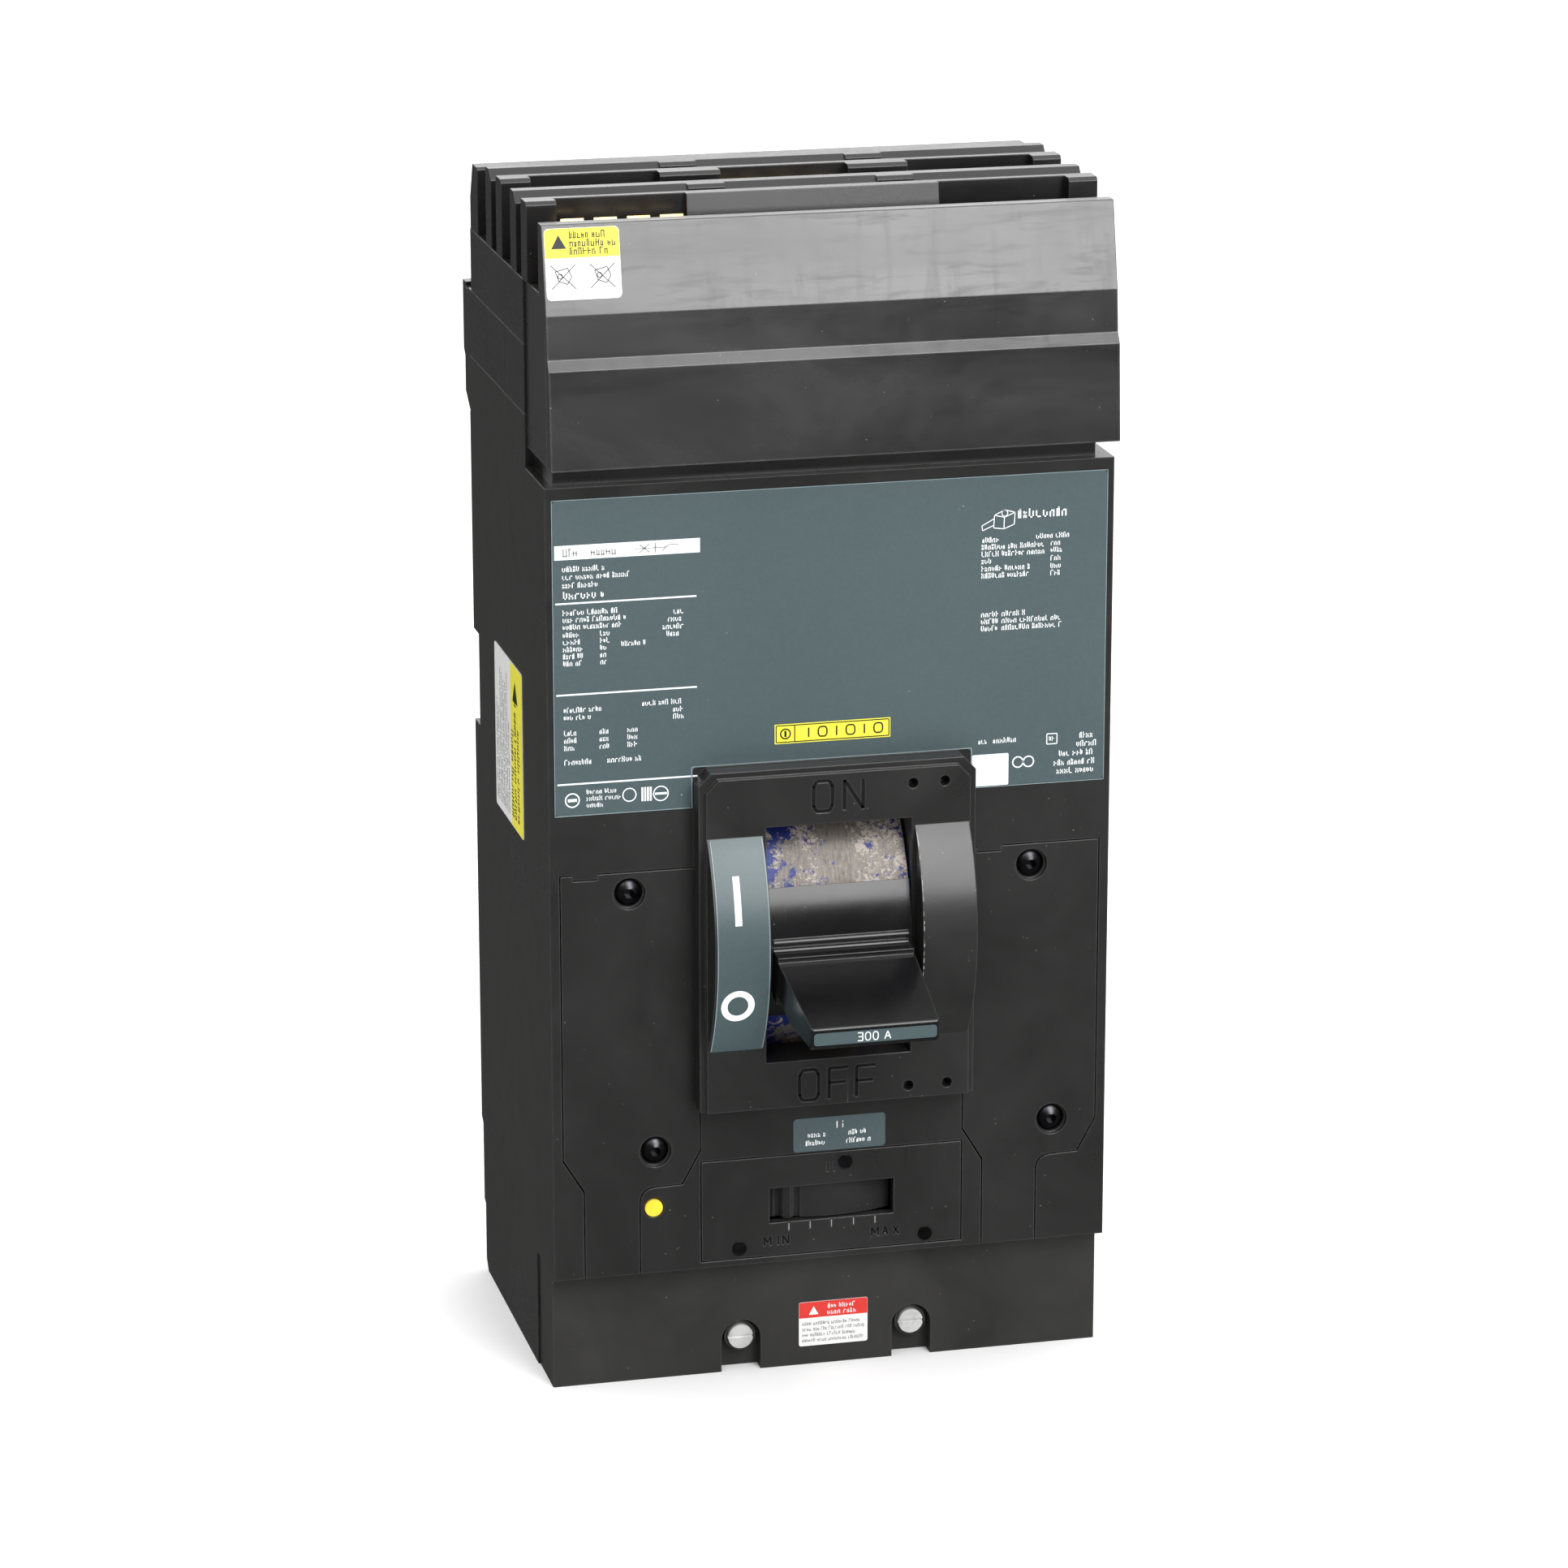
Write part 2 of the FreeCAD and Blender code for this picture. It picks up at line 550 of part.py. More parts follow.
def make_labels():
    """Thin printed labels; the main one is cut out round the escutcheon."""
    outline = [(-74.5, 161.6), (-37.9, 161.6), (-37.9, 172.7), (37.9, 172.7), (37.9, 161.6),
               (74.5, 161.6), (74.5, 246.2), (-74.5, 246.2)]
    label = front_prism(outline, -LABEL, 0.0)
    corners = [e for e in label.Edges if abs(e.tangentAt(e.FirstParameter).y) > 0.9]
    save("main_label", label.makeFillet(1.7, corners))
    save("adjuster_label", rounded_plate(-10.6, 14.8, 63.35, 72.8, -0.15, 0.0, 1.0))
    save("io_label", sector(ARCH_R, ARCH_R + LABEL, -35.4, 35.4, -35.1, -20.9))
    save("lug_cover_sticker", rounded_plate(-7.7, 11.5, 5.3, 18.0, 5.35, 5.5, 0.6))
    side = box(-HALF - 0.15, -HALF, 33.3, 70.8, 145.6, 191.3)
    corners = [e for e in side.Edges if abs(e.tangentAt(e.FirstParameter).x) > 0.9]
    save("side_sticker", side.makeFillet(1.0, corners))


def facet_point(height, out=0.0):
    """Point on the slanted facet at a height, moved out of the surface."""
    run = FACET_HIGH[0] - FACET_LOW[0]
    rise = FACET_HIGH[1] - FACET_LOW[1]
    length = math.hypot(run, rise)
    d = FACET_LOW[0] + run * (height - FACET_LOW[1]) / rise
    return (d - out * rise / length, height + out * run / length)


def make_line_sticker():
    outline = [facet_point(298.5), facet_point(298.5, 0.15), facet_point(316.3, 0.15),
               facet_point(316.3)]
    patch = side_prism(outline, -75.1, -55.6)
    edges = [e for e in patch.Edges if e.Length < 0.2]
    save("line_end_sticker", patch.makeFillet(1.3, edges))


# ---------------------------------------------------------------- line end

def make_line_block():
    body = box(-HALF, HALF, SHOULDER, DEPTH, BASE_TOP, BLOCK_TOP)
    channels = []
    for x, d in zip(POLES, JAW_DEPTHS):
        start = SHOULDER - 1 if d < SHOULDER else d - 2.0
        channels.append(box(x - 8.4, x + 8.4, start, 92.5, BASE_TOP + 4.0, BLOCK_TOP + 1))
        channels.append(box(x - 8.4, x + 8.4, 86.0, 92.5, BASE_TOP - 1, BLOCK_TOP + 1))
    seams = [box(s * HALF - 0.3, s * HALF + 0.3, PARTING - 0.3, PARTING + 0.3, BASE_TOP - 1,
                 BLOCK_TOP + 1) for s in (-1, 1)]
    save("line_block", less(body, *(channels + seams)))


def make_line_housing():
    """Slotted floor of the line end, with a passage under each phase's jaw."""
    body = join(box(-HALF, HALF, SHOULDER, 97.2, BLOCK_TOP, SLOT_FLOOR),
                box(-72.2, 72.2, PANEL_BACK + 0.3, SHOULDER + 0.1, BLOCK_TOP, SLOT_FLOOR))
    passages = [box(x - 8.0, x + 8.0, d - 1.5, d + 1.5, BLOCK_TOP - 1, SLOT_FLOOR + 1)
                for x, d in zip(POLES, JAW_DEPTHS)]
    save("line_housing", less(body, *passages))


POCKET_SPANS = ((-68.2, -33.6), (-17.2, 17.4), (33.8, 68.4))
CHAMFER_SPANS = ((-HALF - 1, -30.4), (-20.4, 20.4), (30.4, HALF + 1))


def make_barrier_walls():
    """Barrier walls between the phases; the wider ones have a pocket per pole."""
    walls = []
    for d0, d1, top in WALLS:
        profile = [(d0, SLOT_FLOOR), (d0, top - 0.9), (d0 + 0.9, top), (d1 - 0.6, top),
                   (d1, top - 0.6), (d1, SLOT_FLOOR)]
        walls.append(side_prism(profile, -HALF, HALF))
    finished = []
    for number, wall in enumerate(walls):
        d0, d1, top = WALLS[number]
        tools = []
        if number % 2 == 0:
            for x0, x1 in POCKET_SPANS:
                if d0 < SHOULDER and x0 < 0.0 < x1:
                    # the middle of the front wall leans back instead
                    lean = [(d0 - 0.5, 303.0), (d0, 303.0), (d0 + 2.6, top + 0.5),
                            (d0 - 0.5, top + 0.5)]
                    tools.append(side_prism(lean, -33.6, 33.8))
                else:
                    tools.append(box(x0, x1, d0 - 0.5, d0 + 4.2, SLOT_FLOOR + 3, top + 1))
        else:
            for x0, x1 in CHAMFER_SPANS:
                ramp = [(d0 - 0.5, top - 3.2), (d0 + 3.2, top + 0.5), (d0 - 0.5, top + 0.5)]
                tools.append(side_prism(ramp, x0, x1))
        finished.append(less(wall, *tools))
    rear = [(86.1, SLOT_FLOOR), (86.1, 317.0), (86.7, 317.6), (92.5, 317.6), (96.4, 308.0),
            (96.4, SLOT_FLOOR)]
    finished.append(side_prism(rear, -HALF, HALF))
    save("barrier_walls", *finished)


def make_line_front_cover():
    low = END_LOW[1]
    front = [END_LOW, BEVEL_LOW, BEVEL_HIGH, FACET_LOW, FACET_HIGH,
             (2.9, 317.2), (PANEL_BACK, 317.2), (PANEL_BACK, 298.0), (1.2, 295.5),
             (-2.2, 280.0), (-2.6, low)]
    body = side_prism(front, -END_HALF, END_HALF)
    sides = []
    grooves = []
    for s in (-1, 1):
        x0, x1 = pair(END_HALF - 3.0, END_HALF, s)
        outline = [(-3.0, low), (-3.0, 280.0), (1.0, 296.0), (PANEL_BACK, 299.1),
                   (SHOULDER, 299.1), (SHOULDER, low)]
        sides.append(side_prism(outline, x0, x1))
        x0, x1 = pair(END_HALF - 0.35, END_HALF + 1, s)
        grooves.append(box(x0, x1, -1.3, -0.9, low - 5, 290.0))
    floor = box(-END_HALF, END_HALF, -3.0, SHOULDER, low, low + 2.5)
    body = join(body, *(sides + [floor]))
    for x, h, head in CASE_SCREWS[2:]:
        grooves.append(box(x - 4.4, x + 4.4, 22.0, SHOULDER + 1, 254.0, 262.0))
    save("line_front_cover", less(body, *grooves))


def make_rear_bracket():
    outline = [(DEPTH, 283.1), (109.4, 283.1), (109.4, 264.0), (107.5, 262.5), (107.5, 252.6),
               (DEPTH, 248.6), (BRACKET_SEAT, 248.6), (BRACKET_SEAT, BASE_TOP), (DEPTH, BASE_TOP)]
    hook = side_prism(outline, -HALF, HALF)
    groove = box(-HALF - 1, HALF + 1, DEPTH - 1, 105.2, BLOCK_TOP - 0.4, 284.0)
    windows = [box(x - 14, x + 14, DEPTH - 1, 112, 256.0, 275.0) for x in (-POLE_PITCH, POLE_PITCH)]
    save("rear_mounting_bracket", less(hook, *([groove] + windows)))


def make_jaws_and_straps():
    """Spring-finger jaws that grip the bus bars, and the straps down to the contacts."""
    jaws = []
    straps = []
    for x, d in zip(POLES, JAW_DEPTHS):
        fingers = []
        for k in range(4):
            fx = x - 0.8 + (k - 1.5) * 8.7
            for s in (-1, 1):
                profile = [(d + s * 5.3, SLOT_FLOOR + 3.9), (d + s * 5.3, 306.0),
                           (d + s * 3.9, 311.0), (d + s * 5.0, 315.4), (d + s * 3.9, 315.9),
                           (d + s * 2.6, 311.0), (d + s * 3.9, 305.6),
                           (d + s * 3.9, SLOT_FLOOR + 3.9)]
                fingers.append(side_prism(profile, fx - 3.0, fx + 3.0))
        seat = box(x - 17.0, x + 16.6, d - 5.4, d + 5.4, SLOT_FLOOR, SLOT_FLOOR + 4.0)
        jaws.append(join(seat, *fingers))
        path = [(d, SLOT_FLOOR - 1.5), (d, 273.0), (90.0, 273.0), (90.0, 157.0)]
        straps.append(strip(path, 3.0, x - 7.6, x + 7.6))
    save("line_jaws", *jaws)
    save("line_straps", *straps)
    tips = [box(x - 5, x + 5, 86.6, 88.5, 156.0, 166.0) for x in POLES]
    save("fixed_contacts", *tips)


# ---------------------------------------------------------------- contacts and chutes

def make_contact_system():
    d, h = CROSSBAR_AXIS
    bar = join(rod_x(-69.2, 69.2, d, h, CROSSBAR_R), rod_x(-72.9, 72.9, d, h, CROSSBAR_END_R))
    tip = polar(CROSSBAR_AXIS, ARM_LENGTH, ARM_OPEN)
    tail = polar(CROSSBAR_AXIS, 13.0, ARM_OPEN + 180)
    arms = []
    pads = []
    for x in POLES:
        arm = link(tail, tip, 3.4, x - 2.8, x + 2.8)
        hole = rod_x(x - 3, x + 3, ARM_PIN[0], ARM_PIN[1], 1.5)
        arms.append(less(arm, hole) if x == 0.0 else arm)
        # contact pad on the rear face of the arm's tip
        a = math.radians(ARM_OPEN)
        back_dir = (math.sin(a), math.cos(a))
        c = polar(CROSSBAR_AXIS, ARM_LENGTH - 1.5, ARM_OPEN)
        along = (-math.cos(a) * 3.6, math.sin(a) * 3.6)
        near = (c[0] + back_dir[0] * 3.4, c[1] + back_dir[1] * 3.4)
        far = (c[0] + back_dir[0] * 5.0, c[1] + back_dir[1] * 5.0)
        quad = [(near[0] - along[0], near[1] - along[1]), (near[0] + along[0], near[1] + along[1]),
                (far[0] + along[0], far[1] + along[1]), (far[0] - along[0], far[1] - along[1])]
        pads.append(side_prism(quad, x - 4.5, x + 4.5))
    slots = [link(tail, tip, 3.4, x - 2.8, x + 2.8) for x in POLES]
    save("crossbar", less(bar, *slots))
    save("contact_arms", *arms)
    save("moving_contacts", *pads)
    save("arm_pin", rod_x(-8.6, 8.6, ARM_PIN[0], ARM_PIN[1], 1.5))
    plates = []
    walls = []
    for x in POLES:
        for k in range(8):
            level = 142.0 + 6.0 * k
            plate = box(x - 14, x + 14, 52.2, 93.0, level, level + 1.4)
            throat = box(x - 6.0, x + 6.0, 51.0, 87.0, level - 1, level + 3)
            throat = join(throat, box(x - 8.2, x + 8.2, 84.0, 94.0, level - 1, level + 3))
            if level > 167.0:
                throat = box(x - 8.2, x + 8.2, 84.0, 94.0, level - 1, level + 3)
            plates.append(less(plate, throat))
        for s in (-1, 1):
            x0, x1 = sorted((x + s * 14.0, x + s * 15.6))
            walls.append(box(x0, x1, 52.0, 93.2, 140.0, 187.5))
    save("arc_chute_plates", *plates)
    save("arc_chute_walls", *walls)


# ---------------------------------------------------------------- mechanism

def make_mechanism():
    hd, hh = HANDLE_PIVOT
    od, oh = CROSSBAR_AXIS
    outline = [(22.0, 112.0), (44.0, 84.5), (93.4, 84.5), (93.4, 100.0), (86.0, 122.0),
               (70.0, 130.0), (51.0, 134.0), (48.0, 158.0), (30.0, 158.0), (22.0, 138.0)]
    plates = []
    for s in (-1, 1):
        x0, x1 = pair(21.2, 23.2, s)
        plate = side_prism(outline, x0, x1)
        holes = [rod_x(x0 - 1, x1 + 1, hd, hh, HANDLE_PIN_R + 0.05),
                 rod_x(x0 - 1, x1 + 1, od, oh, CROSSBAR_R + 0.08),
                 rod_x(x0 - 1, x1 + 1, CRADLE_PIVOT[0], CRADLE_PIVOT[1], 2.0),
                 rod_x(x0 - 1, x1 + 1, LATCH_PIVOT[0], LATCH_PIVOT[1], 1.3),
                 rod_x(x0 - 1, x1 + 1, TRIP_BAR_AXIS[0], TRIP_BAR_AXIS[1], 5.0)]
        plates.append(less(plate, *holes))
    save("mechanism_frame_plates", *plates)
    pins = [rod_x(-23.2, 23.2, CRADLE_PIVOT[0], CRADLE_PIVOT[1], 2.0),
            rod_x(-5.2, 5.2, UPPER_PIVOT[0], UPPER_PIVOT[1], 1.6),
            rod_x(-23.2, 23.2, LATCH_PIVOT[0], LATCH_PIVOT[1], 1.3)]
    save("mechanism_pins", *pins)
    spine = join(link(CRADLE_PIVOT, UPPER_PIVOT, 4.0, -1.5, 1.5),
                 link(UPPER_PIVOT, (44.2, 99.0), 4.0, -1.5, 1.5),
                 link((44.2, 99.0), (47.0, 95.0), 2.2, -1.5, 1.5))
    spine = less(spine, rod_x(-2, 2, CRADLE_PIVOT[0], CRADLE_PIVOT[1], 2.0),
                 rod_x(-2, 2, UPPER_PIVOT[0], UPPER_PIVOT[1], 1.6))
    save("cradle", spine)
    uppers = []
    lowers = []
    for s in (-1, 1):
        x0, x1 = pair(2.4, 4.4, s)
        bar = link(UPPER_PIVOT, TOGGLE_PIN, 3.6, x0, x1)
        uppers.append(less(bar, rod_x(x0 - 1, x1 + 1, UPPER_PIVOT[0], UPPER_PIVOT[1], 1.65),
                           rod_x(x0 - 1, x1 + 1, TOGGLE_PIN[0], TOGGLE_PIN[1], 1.8)))
        x0, x1 = pair(5.6, 7.6, s)
        bar = link(ARM_PIN, TOGGLE_PIN, 4.2, x0, x1)
        lowers.append(less(bar, rod_x(x0 - 1, x1 + 1, ARM_PIN[0], ARM_PIN[1], 1.55),
                           rod_x(x0 - 1, x1 + 1, TOGGLE_PIN[0], TOGGLE_PIN[1], 2.5)))
    save("upper_links", *uppers)
    save("lower_links", *lowers)
    save("toggle_pin", rod_x(-14.4, 14.4, TOGGLE_PIN[0], TOGGLE_PIN[1], 1.8))


def make_handle():
    d, h = HANDLE_PIVOT
    rest = HANDLE_REST
    shield = sector(SHIELD_R - 1.0, SHIELD_R, rest - 20, rest + 30.4, -19.2, 19.2)
    grip = side_prism([(-7.0, 123.3), (-17.5, 121.7), (GRIP_TIP, 113.7), (GRIP_TIP, 108.0),
                       (-25.5, 109.2), (-17.0, 112.6), (-6.4, 112.0)], -GRIP_HALF, GRIP_HALF)
    grip = less(grip, rod_x(-20, 20, d, h, SHIELD_R - 1.0))
    for s in (-1, 1):
        taper = [(s * 19.5, -10.0), (s * GRIP_HALF, -17.5), (s * 17.0, GRIP_TIP - 0.1),
                 (s * 22.0, GRIP_TIP - 0.1), (s * 22.0, -10.0)]
        grip = less(grip, extrude([at(x, dd, 100.0) for x, dd in taper], (0, 0, 30)))
    tongue = sector(36.4, SHIELD_R - 0.5, rest - 9, rest + 9, -10.0, 10.0)
    root = sector(SHIELD_R - 0.5, SHIELD_R + 6.0, rest - 8, rest + 8, -GRIP_HALF, GRIP_HALF)
    beads = []
    for angle in (0.4, -2.7):
        bead = polar(HANDLE_PIVOT, SHIELD_R, angle)
        beads.append(rod_x(-GRIP_HALF, GRIP_HALF, bead[0], bead[1], 0.9))
    handle = join(shield, grip, tongue, root, *beads)
    tip_edges = [e for e in handle.Edges
                 if e.CenterOfMass.y < back(GRIP_TIP + 2.0) and e.Length > 3.0]
    handle = handle.makeFillet(0.7, tip_edges)
    save("handle", handle)
    slide = sector(PLATE_R - 0.9, PLATE_R, rest - 66, rest + 62, -19.2, 19.2)
    save("handle_slide_plate", less(slide, sector(30, 50, rest - 9, rest + 9, -10.0, 10.0)))
    cross = sector(33.4, 36.4, rest - 14, rest + 14, -18.9, 18.9)
    arms = []
    for s in (-1, 1):
        x0, x1 = pair(16.9, 18.9, s)
        tip = polar(HANDLE_PIVOT, 34.5, rest)
        arm = link(HANDLE_PIVOT, tip, 6.0, x0, x1)
        arm = arm.common(rod_x(x0, x1, d, h, 36.4))
        stub0, stub1 = pair(16.9, 23.2, s)
        arms.append(join(arm, rod_x(stub0, stub1, d, h, HANDLE_PIN_R)))
    # spring horns carry the anchor pin behind the cross plate
    a_point = polar(HANDLE_PIVOT, 30.0, rest)
    for s in (-1, 1):
        x0, x1 = pair(6.6, 8.6, s)
        arms.append(link(a_point, polar(HANDLE_PIVOT, 33.2, rest), 3.0, x0, x1))
    anchor = rod_x(-14.4, 14.4, a_point[0], a_point[1], 1.3)
    save("handle_yoke", join(cross, anchor, *arms))
    springs = []
    for s in (-1, 1):
        start = at(s * 12.2, a_point[0] + 2.0, a_point[1] + 0.7)
        end = at(s * 12.2, TOGGLE_PIN[0] - 2.6, TOGGLE_PIN[1] - 0.9)
        springs.append(coil(start, end, 2.2, 0.45, 15))
    save("main_springs", *springs)
    label = box(-16.4, 16.4, GRIP_TIP - 0.15, GRIP_TIP, 109.2, 112.5)
    corners = [e for e in label.Edges if abs(e.tangentAt(e.FirstParameter).y) > 0.9]
    save("rating_label", label.makeFillet(0.8, corners))


# ---------------------------------------------------------------- trip unit

def make_trip_unit():
    d, h = TRIP_BAR_AXIS
    bar = rod_x(-69.0, 69.0, d, h, TRIP_BAR_R)
    tabs = []
    for x in POLES:
        tabs.append(box(x + 8.0, x + 12.0, d - 2.2, d + 2.2, h - 10.0, h))
        tabs.append(box(x + 8.0, x + 12.0, d - 2.2, 58.2, h - 17.5, h - 9.0))
    kick = box(TRIP_BUTTON[0] - 4, TRIP_BUTTON[0] + 4, d - 3.6, d - 0.6, h - 36.0, h)
    stop = box(-2.0, 2.0, d - 1.4, d + 1.4, h, h + 6.0)
    shaft = rod_x(-71.9, 71.9, d, h, 2.15)
    save("trip_bar", join(bar, shaft, kick, stop, *tabs))
    brackets = []
    for s in (-1, 1):
        x0, x1 = pair(69.3, 73.0, s)
        plate = box(x0, x1, d - 3.8, CHAMBER_BACK, h - 3.8, h + 3.8)
        x0, x1 = pair(66, 73, s)
        tail = box(x0, x1, d + 5, CHAMBER_BACK, h - 3.8, h + 3.8)
        brackets.append(less(join(plate, tail), rod_x(-72, 72, d, h, 2.2)))
    save("trip_bar_bearings", *brackets)
    # the latch holds the cradle's nose and rests against the bar's middle stop
    latch = join(link((51.8, 95.6), LATCH_PIVOT, 2.2, -1.5, 1.5),
                 link(LATCH_PIVOT, (53.6, 91.0), 1.4, -1.5, 1.5))
    save("trip_latch", less(latch, rod_x(-2, 2, LATCH_PIVOT[0], LATCH_PIVOT[1], 1.35)))
    frames = []
    heaters = []
    magnets = []
    armatures = []
    pivots = []
    for x in POLES:
        frames.append(box(x - 16, x + 16, 86.0, CHAMBER_BACK, 40.0, 80.0))
        heaters.append(join(box(x - 5, x + 5, 80.4, 82.0, 38.0, 79.0),
                            box(x - 5, x + 5, 80.4, 86.0, 77.4, 79.0)))
        magnets.append(join(box(x - 12, x + 12, 83.0, 86.0, 44.0, 56.0),
                            box(x - 12, x - 9, 66.0, 83.5, 44.0, 56.0),
                            box(x + 9, x + 12, 66.0, 83.5, 44.0, 56.0)))
        armature = box(x - 12, x + 12, 60.6, 62.6, 47.2, 71.0)
        armature = join(armature, rod_x(x - 12, x + 12, 61.6, ARMATURE_PIVOT_HEIGHT, 1.9))
        armatures.append(less(armature, rod_x(x - 13, x + 13, 61.6, ARMATURE_PIVOT_HEIGHT, 1.05)))
        pin = rod_x(x - 15.4, x + 15.4, 61.6, ARMATURE_PIVOT_HEIGHT, 1.0)
        cheeks = [box(x + s * 14.4 - 1.0, x + s * 14.4 + 1.0, 59.6, 86.0,
                      ARMATURE_PIVOT_HEIGHT - 2.0, ARMATURE_PIVOT_HEIGHT + 2.0) for s in (-1, 1)]
        pivots.append(join(pin, *cheeks))
    save("trip_unit_frames", *frames)
    save("heater_strips", *heaters)
    save("magnet_yokes", *magnets)
    for name, armature in zip("abc", armatures):
        save("armature_" + name, armature)
    save("armature_brackets", *pivots)
    save("flexible_braids", *[box(x - 3.0, x + 3.0, 77.6, 80.3, 76.0, 95.8) for x in POLES])


# ---------------------------------------------------------------- load end

def make_load_end():
    lugs = []
    screws = []
    straps = []
    h = BINDING_SCREW_HEIGHT
    for x in POLES:
        lug = box(x - 17.0, x + 17.0, 45.0, 80.0, LUG_BOTTOM, LUG_TOP)
        thread = rod_y(x, h, 40.0, 60.0, BINDING_SCREW_R)
        lugs.append(less(lug, rod_z(x, LUG_DEPTH, LUG_BOTTOM - 1, LUG_TOP + 1, LUG_BORE_R), thread))
        screw = rod_y(x, h, 36.0, 48.0, BINDING_SCREW_R)
        screws.append(less(screw, front_prism(hexagon(x, h, 2.9), 35.0, 41.0)))
        straps.append(join(box(x - 8, x + 8, 77.0, 80.0, LUG_TOP, 36.5),
                           box(x - 6, x + 6, 77.0, 80.4, 36.0, 44.0)))
    save("load_lugs", *lugs)
    save("lug_binding_screws", *screws)
    save("load_straps", *straps)


def make_lug_cover():
    shell = box(-75.7, 75.7, 5.5, 23.2, 0.0, 32.3)
    shell = less(shell, box(-72.7, 72.7, 8.5, 24.0, 3.0, 31.0))
    notches = []
    for s in (-1, 1):
        x = s * STUD_X
        notches.append(box(x - 5.45, x + 5.45, 4.0, 10.0, -1.0, STUD_HEIGHT - 0.5))
        notches.append(rod_y(x, STUD_HEIGHT - 0.5, 4.0, 10.0, 5.45))
    back_walls = [box(s * STUD_X - 7.0, s * STUD_X + 7.0, 8.0, 12.0, 0.0, 17.0) for s in (-1, 1)]
    shell = less(join(shell, *back_walls), *notches)
    bosses = [rod_y(s * STUD_X, STUD_HEIGHT, 7.1, 23.2, 4.3) for s in (-1, 1)]
    shell = less(join(shell, *bosses), *stud_holes(4.0, 25.0))
    lip = box(-75.7, 75.7, 4.4, 5.6, 31.2, 32.3)
    save("lug_cover", join(shell, lip))


def make_mounting_screws():
    screws = []
    for s in (-1, 1):
        x = s * STUD_X
        head = rod_y(x, STUD_HEIGHT, 5.9, 7.1, 3.4)
        screw = join(head, rod_y(x, STUD_HEIGHT, 7.0, 97.7, STUD_R - 0.175),
                     rod_y(x, STUD_HEIGHT, 97.6, DEPTH + 8.5, STUD_R))
        slot = box(x - 4, x + 4, 5.0, 6.7, STUD_HEIGHT - 0.45, STUD_HEIGHT + 0.45)
        screws.append(less(screw, slot))
    save("mounting_screws", *screws)
    save("case_screws", *[case_screw_solid(x, h, head) for x, h, head in CASE_SCREWS])


os.makedirs("parts", exist_ok=True)
make_base()
make_cover()
make_accessory_cover("left_accessory_cover", ACCESSORY_X[0])
make_accessory_cover("right_accessory_cover", ACCESSORY_X[1])
make_accessory_screws()
make_trip_adjust_cover()
make_adjuster()
make_push_to_trip()
make_labels()
make_line_sticker()
make_line_block()
make_line_housing()
make_barrier_walls()
make_line_front_cover()
make_rear_bracket()
make_jaws_and_straps()
make_contact_system()
make_mechanism()
make_handle()
make_trip_unit()
make_load_end()
make_lug_cover()
make_mounting_screws()
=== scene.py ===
import math
import random

import bpy
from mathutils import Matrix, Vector


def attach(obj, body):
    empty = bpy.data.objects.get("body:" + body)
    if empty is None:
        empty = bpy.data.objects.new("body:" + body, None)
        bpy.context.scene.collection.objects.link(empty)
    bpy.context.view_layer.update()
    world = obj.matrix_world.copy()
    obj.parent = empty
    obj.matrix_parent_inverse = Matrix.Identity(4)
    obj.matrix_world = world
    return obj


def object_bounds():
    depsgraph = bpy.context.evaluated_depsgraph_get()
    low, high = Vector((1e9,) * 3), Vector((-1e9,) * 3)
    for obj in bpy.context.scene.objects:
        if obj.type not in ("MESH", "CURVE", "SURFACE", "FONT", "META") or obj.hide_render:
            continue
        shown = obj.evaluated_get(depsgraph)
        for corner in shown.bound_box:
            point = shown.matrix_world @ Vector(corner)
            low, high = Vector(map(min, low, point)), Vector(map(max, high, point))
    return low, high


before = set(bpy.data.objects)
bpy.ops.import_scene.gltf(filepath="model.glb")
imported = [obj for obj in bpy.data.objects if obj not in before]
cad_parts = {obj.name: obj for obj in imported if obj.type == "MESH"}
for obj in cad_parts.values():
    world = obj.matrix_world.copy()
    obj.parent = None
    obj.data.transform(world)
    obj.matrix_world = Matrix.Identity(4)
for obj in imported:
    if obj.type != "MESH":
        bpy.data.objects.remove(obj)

cad_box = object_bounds()
random.seed(7)

# Millimetre sketch units, as in the part's source: X to the right, a depth behind the
# cover's front face and a height above the bottom edge.
MM = 0.001
DEPTH = 101.6
ORIGIN_HEIGHT = 160.0
HALF = 76.2
HANDLE_PIVOT = (33.4, 125.5)

PRINT = 0.02              # how far a layer of print stands off its surface
SIDE_PRINT = 0.006        # the same on the left side
STICKER = 0.15            # thickness of the stickers

# depths of the surfaces that carry print or painted shade
MAIN_LABEL = -0.2
ADJUSTER_LABEL = -0.15
ADJUSTER_COVER = 0.0
RATING_LABEL = -46.15
LUG_STICKER = 5.35
WORD_FLOOR = -7.15        # floors of ON and OFF
MARK_FLOOR = 0.35         # floors of MIN and MAX
DIMPLE_FLOOR = -2.95

# radii about the handle's pivot
IO_LABEL_RADIUS = 50.5
ARCH_RADIUS = 50.3

# the line end's sloped facet, from its lower to its upper edge: (depth, height)
FACET_LOW = Vector((-2.4, 294.6))
FACET_HIGH = Vector((2.4, 317.0))

CAMERA_PLACE = (-352.56, -1387.54, 582.99)
CAMERA_TURN = (73.74, 0.05, -13.764)      # degrees
CAMERA_LENS = 130.14
SENSOR = 36.0

FLOOR_REACH = 6.0
TENT_STRENGTH = 2.1

# softboxes in metres and watts: name, place, target, width, height, power
SOFTBOXES = (
    # the sloped facet of the line end reflects this one, upright faces pass under it
    ("front_softbox", (0.56, -1.98, 1.16), (0.0, -0.05, 0.10), 0.95, 1.85, 44.0),
    ("back_strip", (0.45, 1.9, 0.72), (0.0, 0.0, 0.15), 2.6, 0.55, 11.0),
)


